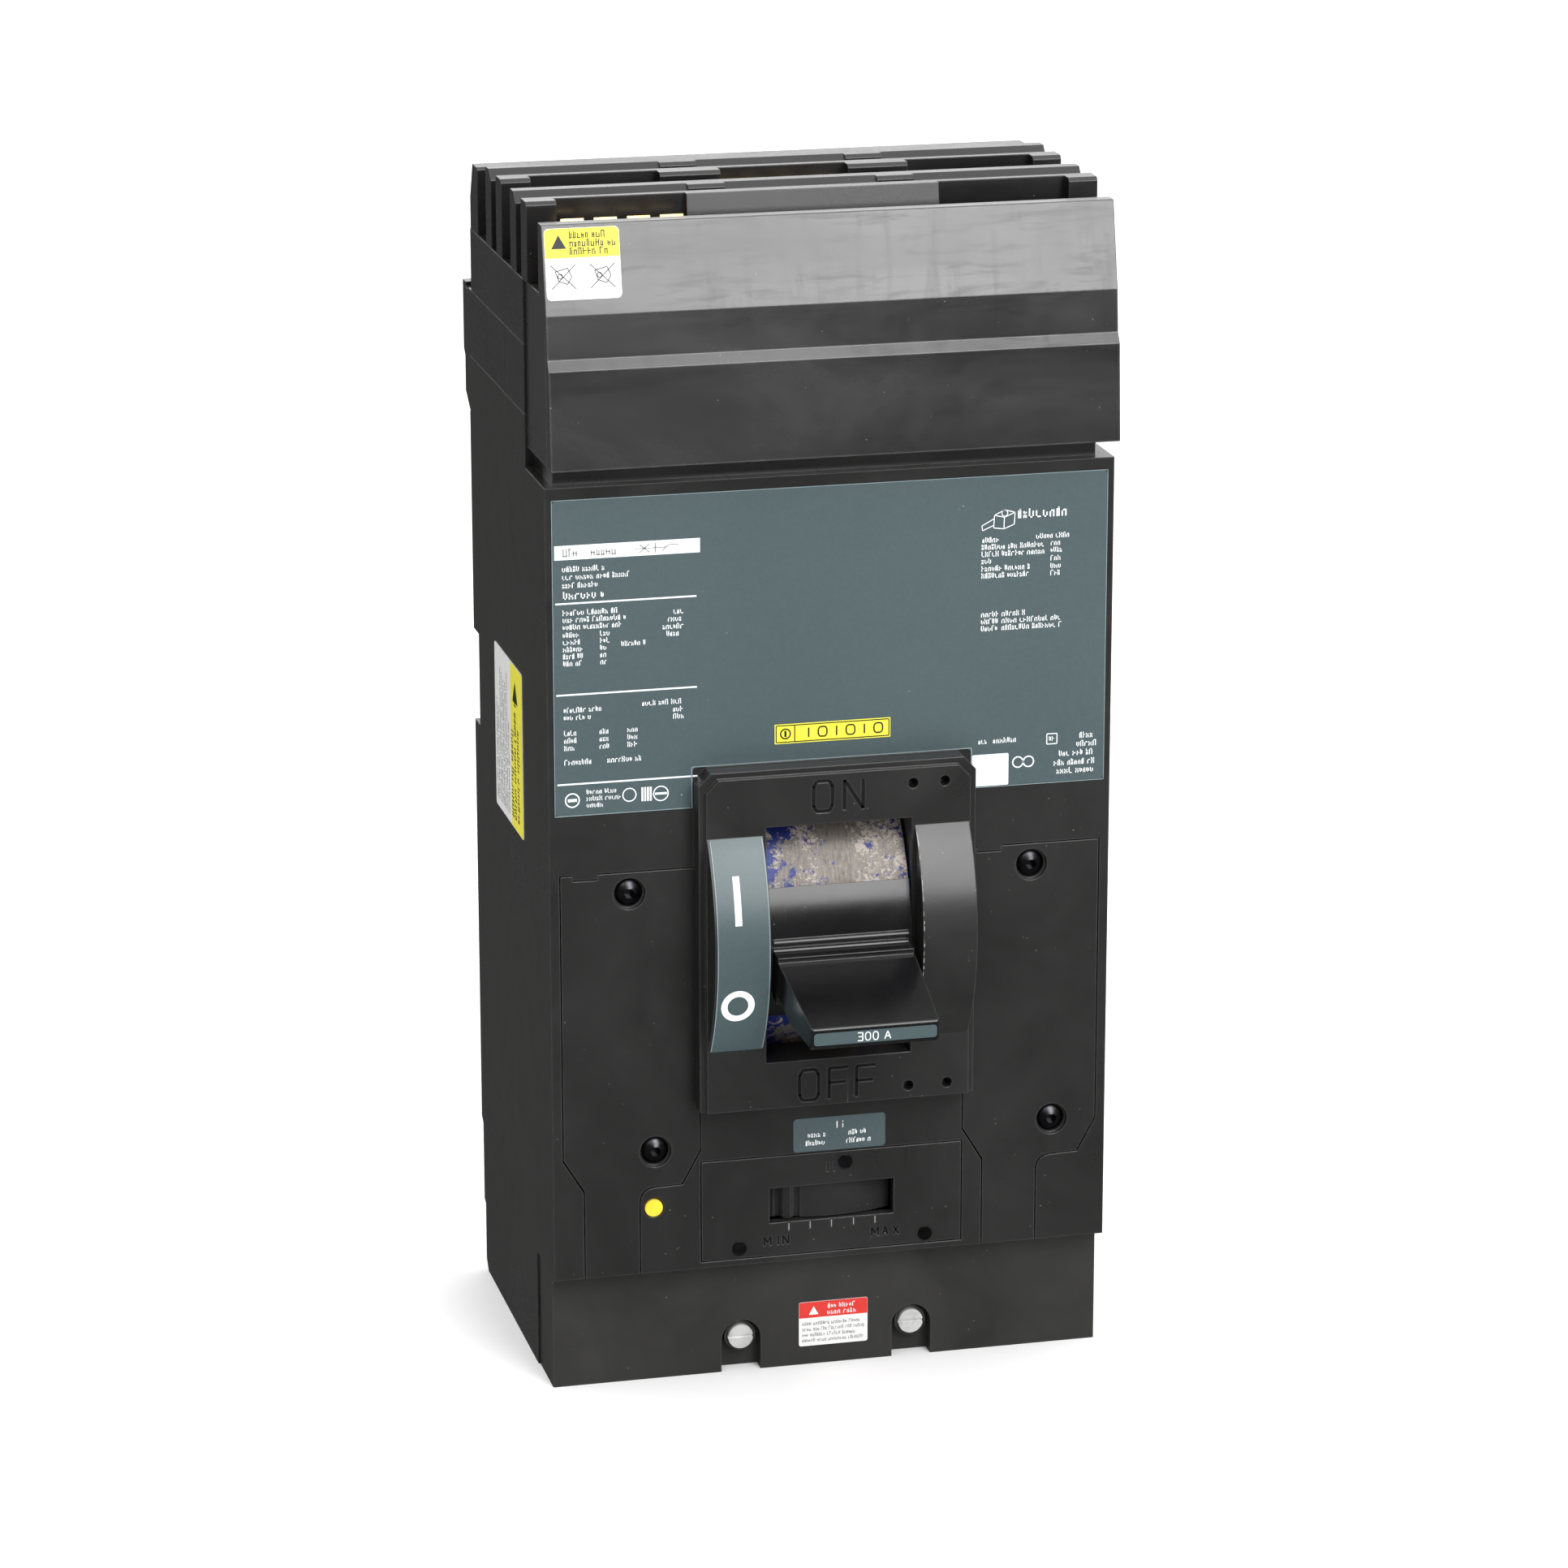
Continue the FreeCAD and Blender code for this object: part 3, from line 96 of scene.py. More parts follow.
def at(x, depth, height):
    return Vector((x * MM, (depth - DEPTH) * MM, (height - ORIGIN_HEIGHT) * MM))


# ---------------------------------------------------------------- materials

def new_material(name, colour, rough, metallic=0.0):
    mat = bpy.data.materials.new(name)
    mat.use_nodes = True
    shader = mat.node_tree.nodes["Principled BSDF"]
    shader.inputs["Base Color"].default_value = (*colour, 1.0)
    shader.inputs["Roughness"].default_value = rough
    shader.inputs["Metallic"].default_value = metallic
    return mat, mat.node_tree, shader


def node(tree, kind, **values):
    made = tree.nodes.new(kind)
    for key, value in values.items():
        if hasattr(made, key):
            setattr(made, key, value)
        else:
            made.inputs[key.replace("_", " ")].default_value = value
    return made


def noise(tree, coords, scale, detail=4.0, roughness=0.6, distortion=0.0):
    made = node(tree, "ShaderNodeTexNoise", Scale=scale, Detail=detail, Roughness=roughness,
                Distortion=distortion)
    tree.links.new(coords, made.inputs["Vector"])
    return made.outputs["Fac"]


def grey(value):
    return (value, value, value)


def ramp(tree, fac, stops):
    """Colour ramp through stops of (place, colour)."""
    made = tree.nodes.new("ShaderNodeValToRGB")
    elements = made.color_ramp.elements
    while len(elements) < len(stops):
        elements.new(0.5)
    for element, (place, colour) in zip(elements, stops):
        element.position = place
        element.color = (*colour, 1.0)
    tree.links.new(fac, made.inputs["Fac"])
    return made.outputs["Color"]


def fade(tree, fac, low, high):
    """Ramp from 0 at low to 1 at high."""
    return ramp(tree, fac, [(low, grey(0.0)), (high, grey(1.0))])


def times(tree, a, b):
    """Product of a socket and either a number or another socket."""
    made = node(tree, "ShaderNodeMath", operation="MULTIPLY")
    tree.links.new(a, made.inputs[0])
    if isinstance(b, float):
        made.inputs[1].default_value = b
    else:
        tree.links.new(b, made.inputs[1])
    return made.outputs[0]


def mix(tree, fac, a, b):
    made = tree.nodes.new("ShaderNodeMix")
    made.data_type = "RGBA"
    for socket, value in ((made.inputs[0], fac), (made.inputs[6], a), (made.inputs[7], b)):
        if isinstance(value, (tuple, list)):
            socket.default_value = (*value, 1.0)
        elif isinstance(value, float):
            socket.default_value = value
        else:
            tree.links.new(value, socket)
    return made.outputs[2]


def object_coords(tree, stretch=None):
    coords = tree.nodes.new("ShaderNodeTexCoord").outputs["Object"]
    if stretch is None:
        return coords
    mapping = tree.nodes.new("ShaderNodeMapping")
    mapping.inputs["Scale"].default_value = stretch
    tree.links.new(coords, mapping.inputs["Vector"])
    return mapping.outputs["Vector"]


def bump(tree, shader, height, strength, distance, edge=None):
    """Surface grain; edge is the radius that sharp edges look rounded by."""
    made = node(tree, "ShaderNodeBump", Strength=strength, Distance=distance)
    tree.links.new(height, made.inputs["Height"])
    if edge:
        rounded_edge = node(tree, "ShaderNodeBevel", samples=4, Radius=edge)
        tree.links.new(rounded_edge.outputs["Normal"], made.inputs["Normal"])
    tree.links.new(made.outputs["Normal"], shader.inputs["Normal"])


def edge_wear_and_highlight(tree, coords, radius):
    """Uneven fac that rises where the surface turns sharply; it lightens edges, partly as wear and
    partly as painted highlight.
    """
    soft = node(tree, "ShaderNodeBevel", samples=4, Radius=radius)
    flat = tree.nodes.new("ShaderNodeNewGeometry")
    dot = node(tree, "ShaderNodeVectorMath", operation="DOT_PRODUCT")
    tree.links.new(soft.outputs["Normal"], dot.inputs[0])
    tree.links.new(flat.outputs["Normal"], dot.inputs[1])
    turned = ramp(tree, dot.outputs["Value"], [(0.84, grey(1.0)), (0.985, grey(0.0))])
    return times(tree, turned, noise(tree, coords, 220.0, 4.0, 0.7))


def specks(tree, coords, scale, size):
    """Fac that is 1 on small scattered dots and 0 elsewhere."""
    dots = node(tree, "ShaderNodeTexVoronoi", Scale=scale)
    tree.links.new(coords, dots.inputs["Vector"])
    near = ramp(tree, dots.outputs["Distance"], [(0.0, grey(1.0)), (size, grey(0.0))])
    few = fade(tree, noise(tree, coords, scale * 0.31, 2.0), 0.6, 0.64)
    return times(tree, near, few)


def moulded(name, colour, rough, smudge=0.05, dust=0.35, specular=0.5, wear_and_highlight_grey=0.09):
    """Moulded thermoset: fine grain, uneven sheen, dust specks, hairline scratches and sharp edges
    lightened, partly wear and partly painted highlight.
    """
    mat, tree, shader = new_material(name, colour, rough)
    coords = object_coords(tree)
    patchy = noise(tree, coords, 26.0, 5.0, 0.62, 0.6)
    sheen = ramp(tree, patchy, [(0.3, grey(rough - smudge)), (0.72, grey(rough + smudge))])
    tree.links.new(sheen, shader.inputs["Roughness"])
    light = tuple(c * 1.5 + 0.002 for c in colour)
    tone = mix(tree, fade(tree, patchy, 0.35, 0.8), colour, light)
    hairs = noise(tree, object_coords(tree, (900.0, 60.0, 30.0)), 1.0, 3.0, 0.7, 0.3)
    scratch = ramp(tree, hairs, [(0.765, grey(0.0)), (0.79, grey(0.16))])
    tone = mix(tree, scratch, tone, (0.34, 0.34, 0.33))
    dots = times(tree, specks(tree, coords, 520.0, 0.11), dust)
    tone = mix(tree, dots, tone, (0.72, 0.70, 0.66))
    # sharp edges lightened to grey: partly wear, partly painted highlight
    tone = mix(tree, edge_wear_and_highlight(tree, coords, 0.0006), tone, grey(wear_and_highlight_grey))
    tree.links.new(tone, shader.inputs["Base Color"])
    shader.inputs["Specular IOR Level"].default_value = specular
    bump(tree, shader, noise(tree, coords, 2600.0, 2.0, 0.5), 0.16, 0.00006, 0.0004)
    return mat


def line_end(name):
    """Polished black of the line end, with a hazy grey bloom and handling marks."""
    mat, tree, shader = new_material(name, (0.014, 0.014, 0.0155), 0.24)
    coords = object_coords(tree)
    cloud = noise(tree, object_coords(tree, (16.0, 22.0, 38.0)), 1.0, 6.0, 0.62, 0.5)
    runs = noise(tree, object_coords(tree, (170.0, 60.0, 18.0)), 1.0, 5.0, 0.66, 0.2)
    rub = noise(tree, object_coords(tree, (45.0, 300.0, 330.0)), 1.0, 6.0, 0.7, 0.6)
    sheen = ramp(tree, cloud, [(0.35, grey(0.20)), (0.7, grey(0.30))])
    tree.links.new(sheen, shader.inputs["Roughness"])
    # darker finger marks and runs take the gloss away
    marks = mix(tree, 0.5, ramp(tree, runs, [(0.30, grey(0.55)), (0.48, grey(1.0))]),
                ramp(tree, rub, [(0.36, grey(0.45)), (0.50, grey(1.0))]))
    gloss = mix(tree, fade(tree, cloud, 0.38, 0.62), marks, grey(1.0))
    tree.links.new(times(tree, gloss, 0.78), shader.inputs["Specular IOR Level"])
    bloom = ramp(tree, cloud, [(0.30, (0.0110, 0.0110, 0.0120)), (0.75, (0.0210, 0.0200, 0.0195))])
    # edges lightened to grey: partly wear, partly painted highlight
    tone = mix(tree, edge_wear_and_highlight(tree, coords, 0.0008), bloom, grey(0.17))
    dots = times(tree, specks(tree, coords, 430.0, 0.10), 0.3)
    tone = mix(tree, dots, tone, (0.6, 0.59, 0.56))
    hairs = noise(tree, object_coords(tree, (60.0, 700.0, 640.0)), 1.0, 3.0, 0.7, 0.3)
    tone = mix(tree, ramp(tree, hairs, [(0.75, grey(0.0)), (0.79, grey(0.22))]), tone, grey(0.3))
    tree.links.new(tone, shader.inputs["Base Color"])
    bump(tree, shader, noise(tree, coords, 2200.0, 2.0, 0.5), 0.12, 0.00005, 0.0004)
    return mat


def metal(name, colour, rough, vary=0.12, stain=None, metallic=1.0):
    """Drawn or plated metal with a grain along its length and duller patches."""
    mat, tree, shader = new_material(name, colour, rough, metallic)
    coords = object_coords(tree)
    grain = noise(tree, object_coords(tree, (60.0, 60.0, 900.0)), 1.0, 5.0, 0.7)
    sheen = ramp(tree, grain, [(0.3, grey(rough - vary)), (0.7, grey(rough + vary))])
    tree.links.new(sheen, shader.inputs["Roughness"])
    dull = stain or tuple(c * 0.55 for c in colour)
    patchy = noise(tree, coords, 180.0, 5.0, 0.65)
    patches = ramp(tree, patchy, [(0.42, grey(0.0)), (0.68, grey(0.8))])
    tree.links.new(mix(tree, patches, colour, dull), shader.inputs["Base Color"])
    bump(tree, shader, grain, 0.15, 0.00005)
    return mat


def printed(name, colour, rough=0.42, wear=0.12):
    """Printed film: even colour with slight mottling and a few rubbed spots."""
    mat, tree, shader = new_material(name, colour, rough)
    coords = object_coords(tree)
    mottled = noise(tree, coords, 900.0, 3.0, 0.6)
    broad = noise(tree, coords, 14.0, 3.0, 0.5)
    dark = tuple(c * (1.0 - wear) for c in colour)
    light = tuple(min(1.0, c * (1.0 + wear)) for c in colour)
    tone = mix(tree, fade(tree, mottled, 0.35, 0.65), dark, light)
    tone = mix(tree, specks(tree, coords, 260.0, 0.07), tone, (0.5, 0.5, 0.48))
    tree.links.new(tone, shader.inputs["Base Color"])
    sheen = ramp(tree, broad, [(0.3, grey(rough - 0.08)), (0.7, grey(rough + 0.1))])
    tree.links.new(sheen, shader.inputs["Roughness"])
    bump(tree, shader, mottled, 0.06, 0.00003)
    return mat


def spread(tree, value, low, high):
    """Value mapped so that low gives 0 and high gives 1."""
    made = node(tree, "ShaderNodeMapRange")
    tree.links.new(value, made.inputs["Value"])
    made.inputs["From Min"].default_value = low
    made.inputs["From Max"].default_value = high
    return made.outputs[0]


def weigh(tree, whole, half, third):
    """Sum of one value, half of the next and a third of the last."""
    total = whole
    for share, extra in ((0.5, half), (0.333, third)):
        step = node(tree, "ShaderNodeMath", operation="MULTIPLY_ADD")
        step.inputs[1].default_value = share
        tree.links.new(extra, step.inputs[0])
        tree.links.new(total, step.inputs[2])
        total = step.outputs[0]
    return total


def worn_plate():
    """Metal slide whose blue paint has rubbed off, most of it towards the right."""
    mat, tree, shader = new_material("worn_blue_plate", (0.2, 0.19, 0.17), 0.45, 0.25)
    brushed = noise(tree, object_coords(tree, (2400.0, 260.0, 260.0)), 1.0, 5.0, 0.7)
    fine = noise(tree, object_coords(tree, (760.0, 900.0, 900.0)), 1.0, 6.0, 0.8, 0.25)
    broad = noise(tree, object_coords(tree, (95.0, 70.0, 70.0)), 1.0, 3.0, 0.55, 0.3)
    flecks = noise(tree, object_coords(tree, (430.0, 380.0, 380.0)), 1.0, 7.0, 0.76, 0.4)
    sides = tree.nodes.new("ShaderNodeSeparateXYZ")
    tree.links.new(object_coords(tree), sides.inputs[0])
    across = spread(tree, sides.outputs["X"], -0.019, 0.019)
    bare = mix(tree, fade(tree, brushed, 0.34, 0.66), (0.085, 0.072, 0.060), (0.175, 0.155, 0.135))
    # both edges are chipped, the middle is evenly rubbed
    edges = ramp(tree, across, [(0.0, grey(0.60)), (0.25, grey(0.40)), (0.48, grey(0.0)),
                                (0.58, grey(0.10)), (0.72, grey(0.58)), (1.0, grey(0.62))])
    chips = fade(tree, weigh(tree, fine, broad, edges), 0.90, 0.93)
    pale = mix(tree, chips, bare, (0.33, 0.29, 0.26))
    # paint survives on the left and in flecks on the right
    paint = ramp(tree, across, [(0.0, grey(0.78)), (0.17, grey(0.66)), (0.30, grey(0.20)),
                                (0.62, grey(0.16)), (0.78, grey(0.50)), (1.0, grey(0.42))])
    left = fade(tree, weigh(tree, flecks, broad, paint), 0.925, 0.945)
    tree.links.new(mix(tree, left, pale, (0.006, 0.016, 0.125)), shader.inputs["Base Color"])
    sheen = ramp(tree, fine, [(0.3, grey(0.34)), (0.7, grey(0.58))])
    tree.links.new(sheen, shader.inputs["Roughness"])
    bump(tree, shader, fine, 0.35, 0.00008)
    return mat


MATS = {
    "case": moulded("case_black", (0.0148, 0.0142, 0.0140), 0.31),
    "end": line_end("line_end_black"),
    "walls": moulded("barrier_black", (0.0095, 0.0092, 0.0095), 0.26),
    # lighter than case_black: painted light, standing in for the stronger light on the lug cover's
    # front
    "lug": moulded("lug_cover_black", (0.0225, 0.0220, 0.0212), 0.33),
    # this near-black serves only as painted shade on the floors of the dimples and engravings
    "shade_paint": moulded("painted_shade_black", (0.004, 0.004, 0.004), 0.5, 0.05, 0.1, 0.3, 0.02),
    "handle": moulded("handle_black", (0.005, 0.005, 0.0055), 0.2, 0.05, 0.3),
    "inner": moulded("inner_red_brown", (0.16, 0.05, 0.03), 0.6, 0.08, 0.1),
    "adjuster": moulded("adjuster_black", (0.014, 0.013, 0.013), 0.36),
    "yellow": moulded("button_yellow", (0.75, 0.52, 0.02), 0.35, 0.08, 0.1),
    "label": printed("label_green_grey", (0.054, 0.083, 0.090), 0.40, 0.04),
    "label_edge": printed("label_light_edge", (0.20, 0.26, 0.27), 0.40, 0.05),
    "print": printed("print_white", (0.78, 0.80, 0.80), 0.45, 0.05),
    "white": printed("sticker_white", (0.72, 0.72, 0.71), 0.38, 0.04),
    "bright_yellow": printed("sticker_yellow", (0.80, 0.74, 0.035), 0.38, 0.03),
    "red": printed("sticker_red", (0.62, 0.030, 0.022), 0.38, 0.04),
    "ink": printed("ink_black", (0.012, 0.012, 0.012), 0.45, 0.05),
    "pale_ink": printed("ink_grey", (0.25, 0.25, 0.25), 0.5, 0.1),
    "blue": printed("paint_blue", (0.012, 0.075, 0.30), 0.4, 0.25),
    "plate": worn_plate(),
    "brass": metal("plated_brass", (0.90, 0.68, 0.30), 0.30, 0.08, (0.50, 0.30, 0.10), 0.6),
    "screw": metal("bright_zinc_screw", (0.72, 0.72, 0.71), 0.42, 0.10, metallic=0.45),
    "silver": metal("contact_silver", (0.82, 0.81, 0.78), 0.3),
    "zinc": metal("zinc_steel", (0.66, 0.65, 0.62), 0.34),
    "dark_steel": metal("blackened_screws", (0.055, 0.055, 0.06), 0.28, 0.08),
    "spring": metal("spring_steel", (0.45, 0.44, 0.42), 0.3),
    "aluminium": metal("lug_aluminium", (0.78, 0.78, 0.77), 0.36),
}

# nodes that aren't named here are zinc-plated steel
NODE_MATS = {
    "case": ["base", "cover", "left_accessory_cover", "right_accessory_cover",
             "trip_adjust_cover"],
    "lug": ["lug_cover"],
    "end": ["line_front_cover"],
    "walls": ["line_housing", "barrier_walls", "line_block", "rear_mounting_bracket"],
    "screw": ["mounting_screws"],
    "handle": ["handle"],
    "inner": ["crossbar", "trip_bar", "trip_unit_frames", "button_guide", "arc_chute_walls",
              "trip_bar_bearings"],
    "adjuster": ["adjuster"],
    "yellow": ["push_to_trip_button"],
    "label": ["main_label", "adjuster_label", "rating_label", "io_label"],
    "white": ["line_end_sticker", "side_sticker", "lug_cover_sticker"],
    "plate": ["handle_slide_plate"],
    "brass": ["line_jaws", "line_straps", "load_straps", "contact_arms", "heater_strips",
              "flexible_braids"],
    "silver": ["fixed_contacts", "moving_contacts"],
    "dark_steel": ["accessory_cover_screws", "trip_cover_rivets"],
    "spring": ["main_springs", "button_return_spring"],
    "aluminium": ["load_lugs", "lug_binding_screws"],
}


def paint_nodes():
    named = {name: key for key, names in NODE_MATS.items() for name in names}
    for name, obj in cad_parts.items():
        obj.data.materials.clear()
        obj.data.materials.append(MATS[named.get(name, "zinc")])


# ---------------------------------------------------------------- flat print

def piece(name, verts, faces, mat, body):
    mesh = bpy.data.meshes.new(name)
    mesh.from_pydata([tuple(v) for v in verts], [], faces)
    mesh.update()
    obj = bpy.data.objects.new(name, mesh)
    bpy.context.collection.objects.link(obj)
    mesh.materials.append(MATS[mat])
    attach(obj, body)


class Ink:
    """Collects flat shapes on one surface and makes them one mesh."""

    def __init__(self, place):
        self.place = place
        self.verts = []
        self.faces = []

    def polygon(self, points):
        start = len(self.verts)
        self.verts += [self.place(u, v) for u, v in points]
        self.faces.append(list(range(start, len(self.verts))))

    def bar(self, u0, u1, v0, v1):
        self.polygon([(u0, v0), (u1, v0), (u1, v1), (u0, v1)])

    def stroke(self, a, b, width):
        du, dv = b[0] - a[0], b[1] - a[1]
        length = math.hypot(du, dv)
        nu, nv = -dv / length * width / 2, du / length * width / 2
        self.polygon([(a[0] + nu, a[1] + nv), (b[0] + nu, b[1] + nv),
                      (b[0] - nu, b[1] - nv), (a[0] - nu, a[1] - nv)])

    def path(self, points, width):
        for a, b in zip(points, points[1:]):
            self.stroke(a, b, width)

    def outline(self, u0, u1, v0, v1, width):
        self.path([(u0, v0), (u1, v0), (u1, v1), (u0, v1), (u0, v0)], width)

    def ring(self, u, v, radius, width, steps=36, squeeze=1.0):
        inner = radius - width
        for k in range(steps):
            a, b = 2 * math.pi * k / steps, 2 * math.pi * (k + 1) / steps
            self.polygon([(u + r * squeeze * math.cos(t), v + r * math.sin(t))
                          for r, t in ((radius, a), (radius, b), (inner, b), (inner, a))])

    def words(self, u0, u1, v, size, gap=0.32):
        """A line of greeked text: little upright marks of uneven height and width."""
        u = u0
        letters = 0
        run = random.randint(3, 8)
        while u < u1:
            width = size * random.uniform(0.34, 0.56)
            tall = size * (1.0 if random.random() < 0.35 else 0.74)
            stem = size * 0.15
            self.bar(u, u + stem, v, v + tall)
            if random.random() < 0.75:
                self.bar(u + width - stem, u + width, v, v + tall * random.uniform(0.7, 1.0))
            level = random.choice((0.0, tall - stem, tall * 0.45))
            self.bar(u, u + width, v + level, v + level + stem)
            u += width + size * gap * 0.55
            letters += 1
            if letters >= run:
                u += size * 0.42
                letters = 0
                run = random.randint(3, 8)

    def finish(self, name, mat, body="case"):
        piece(name, self.verts, self.faces, mat, body)


def on_front(depth, layers=1):
    """Print on an upright face, by default one layer of ink in front of it."""
    return lambda x, h: at(x, depth - layers * PRINT, h)


def on_left_side(layers):
    """Print on the sticker of the left side, laid out in depth and height."""
    return lambda d, h: at(-HALF - STICKER - layers * SIDE_PRINT, d, h)


def on_arc(radius):
    """Print on a drum about the handle's axis: v runs as a height on the drum's face."""
    d0, h0 = HANDLE_PIVOT

    def place(x, h):
        a = math.asin((h - h0) / radius)
        r = radius + PRINT
        return at(x, d0 - r * math.cos(a), h0 + r * math.sin(a))
    return place


def on_facet(layers):
    """Print on the sticker of the line end's sloped facet."""
    along = (FACET_HIGH - FACET_LOW).normalized()
    out = Vector((-along[1], along[0]))

    def place(x, h):
        t = (h - FACET_LOW[1]) / along[1]
        p = FACET_LOW + along * t + out * (STICKER + layers * PRINT)
        return at(x, p[0], p[1])
    return place


def rounded(u0, u1, v0, v1, r):
    """Rectangle with rounded corners."""
    steps = 6
    points = []
    for cu, cv, start in ((u1 - r, v1 - r, 0), (u0 + r, v1 - r, 90), (u0 + r, v0 + r, 180),
                          (u1 - r, v0 + r, 270)):
        for k in range(steps + 1):
            a = math.radians(start + 90 * k / steps)
            points.append((cu + r * math.cos(a), cv + r * math.sin(a)))
    return points


# strokes of the printed characters, in a cell of one by one
PRINTED = {
    "0": [[(0.25, 0), (0.75, 0), (1, 0.25), (1, 0.75), (0.75, 1), (0.25, 1), (0, 0.75),
           (0, 0.25), (0.25, 0)]],
    "3": [[(0, 1), (1, 1), (1, 0), (0, 0)], [(0.2, 0.5), (1, 0.5)]],
    "I": [[(0.5, 0), (0.5, 1)]],
    "O": [[(0.2, 0), (0.8, 0), (1, 0.25), (1, 0.75), (0.8, 1), (0.2, 1), (0, 0.75), (0, 0.25),
           (0.2, 0)]],
    "A": [[(0, 0), (0.5, 1), (1, 0)], [(0.2, 0.35), (0.8, 0.35)]],
    "i": [[(0.5, 0), (0.5, 0.62)], [(0.5, 0.84), (0.5, 1)]],
}


def lettering(ink, text, u, v, size, weight=0.16, wide=0.58, gap=0.26):
    for character in text:
        for line in PRINTED[character]:
            ink.path([(u + pu * size * wide, v + pv * size) for pu, pv in line], size * weight)
        u += size * (wide + gap)


# ---------------------------------------------------------------- main label

def ratings_block(text):
    """Greeked headings and table at the left of the label."""
    for v, right in ((227.2, -60.5), (225.1, -54.5), (222.9, -62.8)):
        text.words(-71.8, right, v, 1.5)
    text.words(-71.6, -61.4, 219.9, 2.1, 0.36)
    for v, right in ((215.6, -57.2), (213.7, -55.5), (211.8, -56.2)):
        text.words(-71.8, right, v, 1.5)
    for v in (209.7, 207.8, 205.9, 204.0, 202.1):
        text.words(-71.8, -67.2, v, 1.45)
        text.words(-62.0, -60.2, v, 1.45)
    text.words(-56.4, -49.8, 206.6, 1.4)
    for v, left in ((214.4, -42.5), (212.4, -44.0), (210.4, -45.4), (208.5, -44.4)):
        text.words(left, -40.6, v, 1.5)
    for v, right in ((189.6, -61.2), (187.6, -64.8)):
        text.words(-71.8, right, v, 1.45)
    for v, left in ((190.2, -51.0), (188.1, -42.8), (186.2, -42.8)):
        text.words(left, -40.6, v, 1.45)
    for v in (183.4, 181.4, 179.4):
        for left, right in ((-71.8, -69.0), (-62.4, -60.0), (-55.0, -52.2)):
            text.words(left, right, v, 1.45)
    text.words(-71.8, -64.8, 175.5, 1.5)
    text.words(-60.4, -51.8, 175.5, 1.5)
    for v, right in ((167.3, -57.4), (165.5, -57.4), (163.7, -62.2)):
        text.words(-66.0, right, v, 1.35)


def plain_marks(text):
    """Plain rings and bars in the label's lower left corner."""
    text.ring(-69.8, 165.9, 2.0, 0.35)
    text.bar(-71.0, -68.6, 165.5, 166.3)
    text.ring(-54.6, 166.4, 1.9, 0.3)
    for k in range(4):
        text.bar(-51.4 + 0.75 * k, -50.9 + 0.75 * k, 164.4, 168.2)
    text.ring(-46.2, 166.2, 2.1, 0.3)
    text.bar(-47.8, -44.6, 165.9, 166.5)


def wiring_block(text):
    """Greeked rows at the upper right of the label."""
    text.words(50.0, 63.6, 234.4, 2.5, 0.4)
    text.words(40.4, 44.2, 228.3, 1.5)
    text.words(55.0, 63.6, 228.6, 1.45)
    for v, right in ((226.4, 56.6), (224.5, 56.6), (222.6, 43.0), (220.6, 53.0), (218.7, 53.0)):
        text.words(40.2, right, v, 1.5)
    for v in (226.6, 224.7, 222.5, 220.4, 218.5):
        text.words(59.0, 61.6, v, 1.45)
    for v, right in ((208.2, 51.6), (206.3, 61.6), (204.4, 62.0)):
        text.words(40.2, 44.6, v, 1.5)
        text.words(45.8, right, v, 1.5)


def corner_block(text):
    """Greeked rows and plain marks at the lower right of the label."""
    text.words(39.8, 42.4, 173.6, 1.5)
    text.words(43.8, 49.6, 173.6, 1.5)
    text.ring(50.7, 168.0, 1.6, 0.35)
    text.ring(53.6, 168.0, 1.6, 0.35)
    for v, left in ((173.5, 67.6), (171.2, 66.8), (168.8, 62.0), (166.3, 60.6), (164.0, 61.4)):
        text.words(left, 71.4, v, 1.65)
    text.outline(58.6, 61.4, 172.4, 175.2, 0.25)
    text.words(59.2, 60.8, 173.2, 1.3)


def connector_icon(ink):
    """Small line drawing of a box lug with its cable."""
    width = 0.22
    ink.path([(43.4, 232.2), (43.6, 235.6), (46.4, 236.9), (49.2, 236.1), (49.0, 232.9),
              (46.2, 231.8), (43.4, 232.2)], width)
    ink.path([(43.6, 235.6), (46.3, 234.9), (49.2, 236.1)], width)
    ink.path([(46.3, 234.9), (46.2, 231.8)], width)
    ink.path([(43.4, 234.6), (40.2, 232.9), (40.4, 231.6), (43.4, 232.9)], width)
    ink.ring(46.4, 236.0, 0.9, 0.2)


def white_band():
    """Grey marks on the label's white band, with a contact symbol: cross, bar, open blade."""
    band = Ink(on_front(MAIN_LABEL, 2))
    band.words(-71.6, -68.8, 231.2, 2.1)
    band.words(-64.2, -58.0, 231.2, 2.1)
    band.path([(-52.8, 232.3), (-43.6, 232.3)], 0.22)
    band.path([(-51.4, 233.4), (-48.8, 231.2)], 0.3)
    band.path([(-51.4, 231.2), (-48.8, 233.4)], 0.3)
    band.path([(-47.2, 231.0), (-47.2, 233.6)], 0.35)
    band.path([(-45.4, 231.3), (-43.9, 232.9), (-41.0, 232.9)], 0.25)
    band.finish("label_band_symbols", "pale_ink")


def yellow_badge():
    plate = Ink(on_front(MAIN_LABEL))
    plate.bar(-15.6, 15.7, 177.4, 182.7)
    plate.finish("label_yellow_plate", "bright_yellow")
    lines = Ink(on_front(MAIN_LABEL, 2))
    lines.outline(-15.2, 15.3, 177.8, 182.3, 0.3)
    lines.path([(-10.2, 177.8), (-10.2, 182.3)], 0.3)
    lines.ring(-12.7, 180.05, 1.5, 0.4)
    lines.bar(-13.0, -12.4, 179.2, 180.9)
    lettering(lines, "IOIOIO", -7.6, 178.8, 2.6, 0.16, 0.9, 0.55)
    lines.finish("label_plate_lines", "ink")


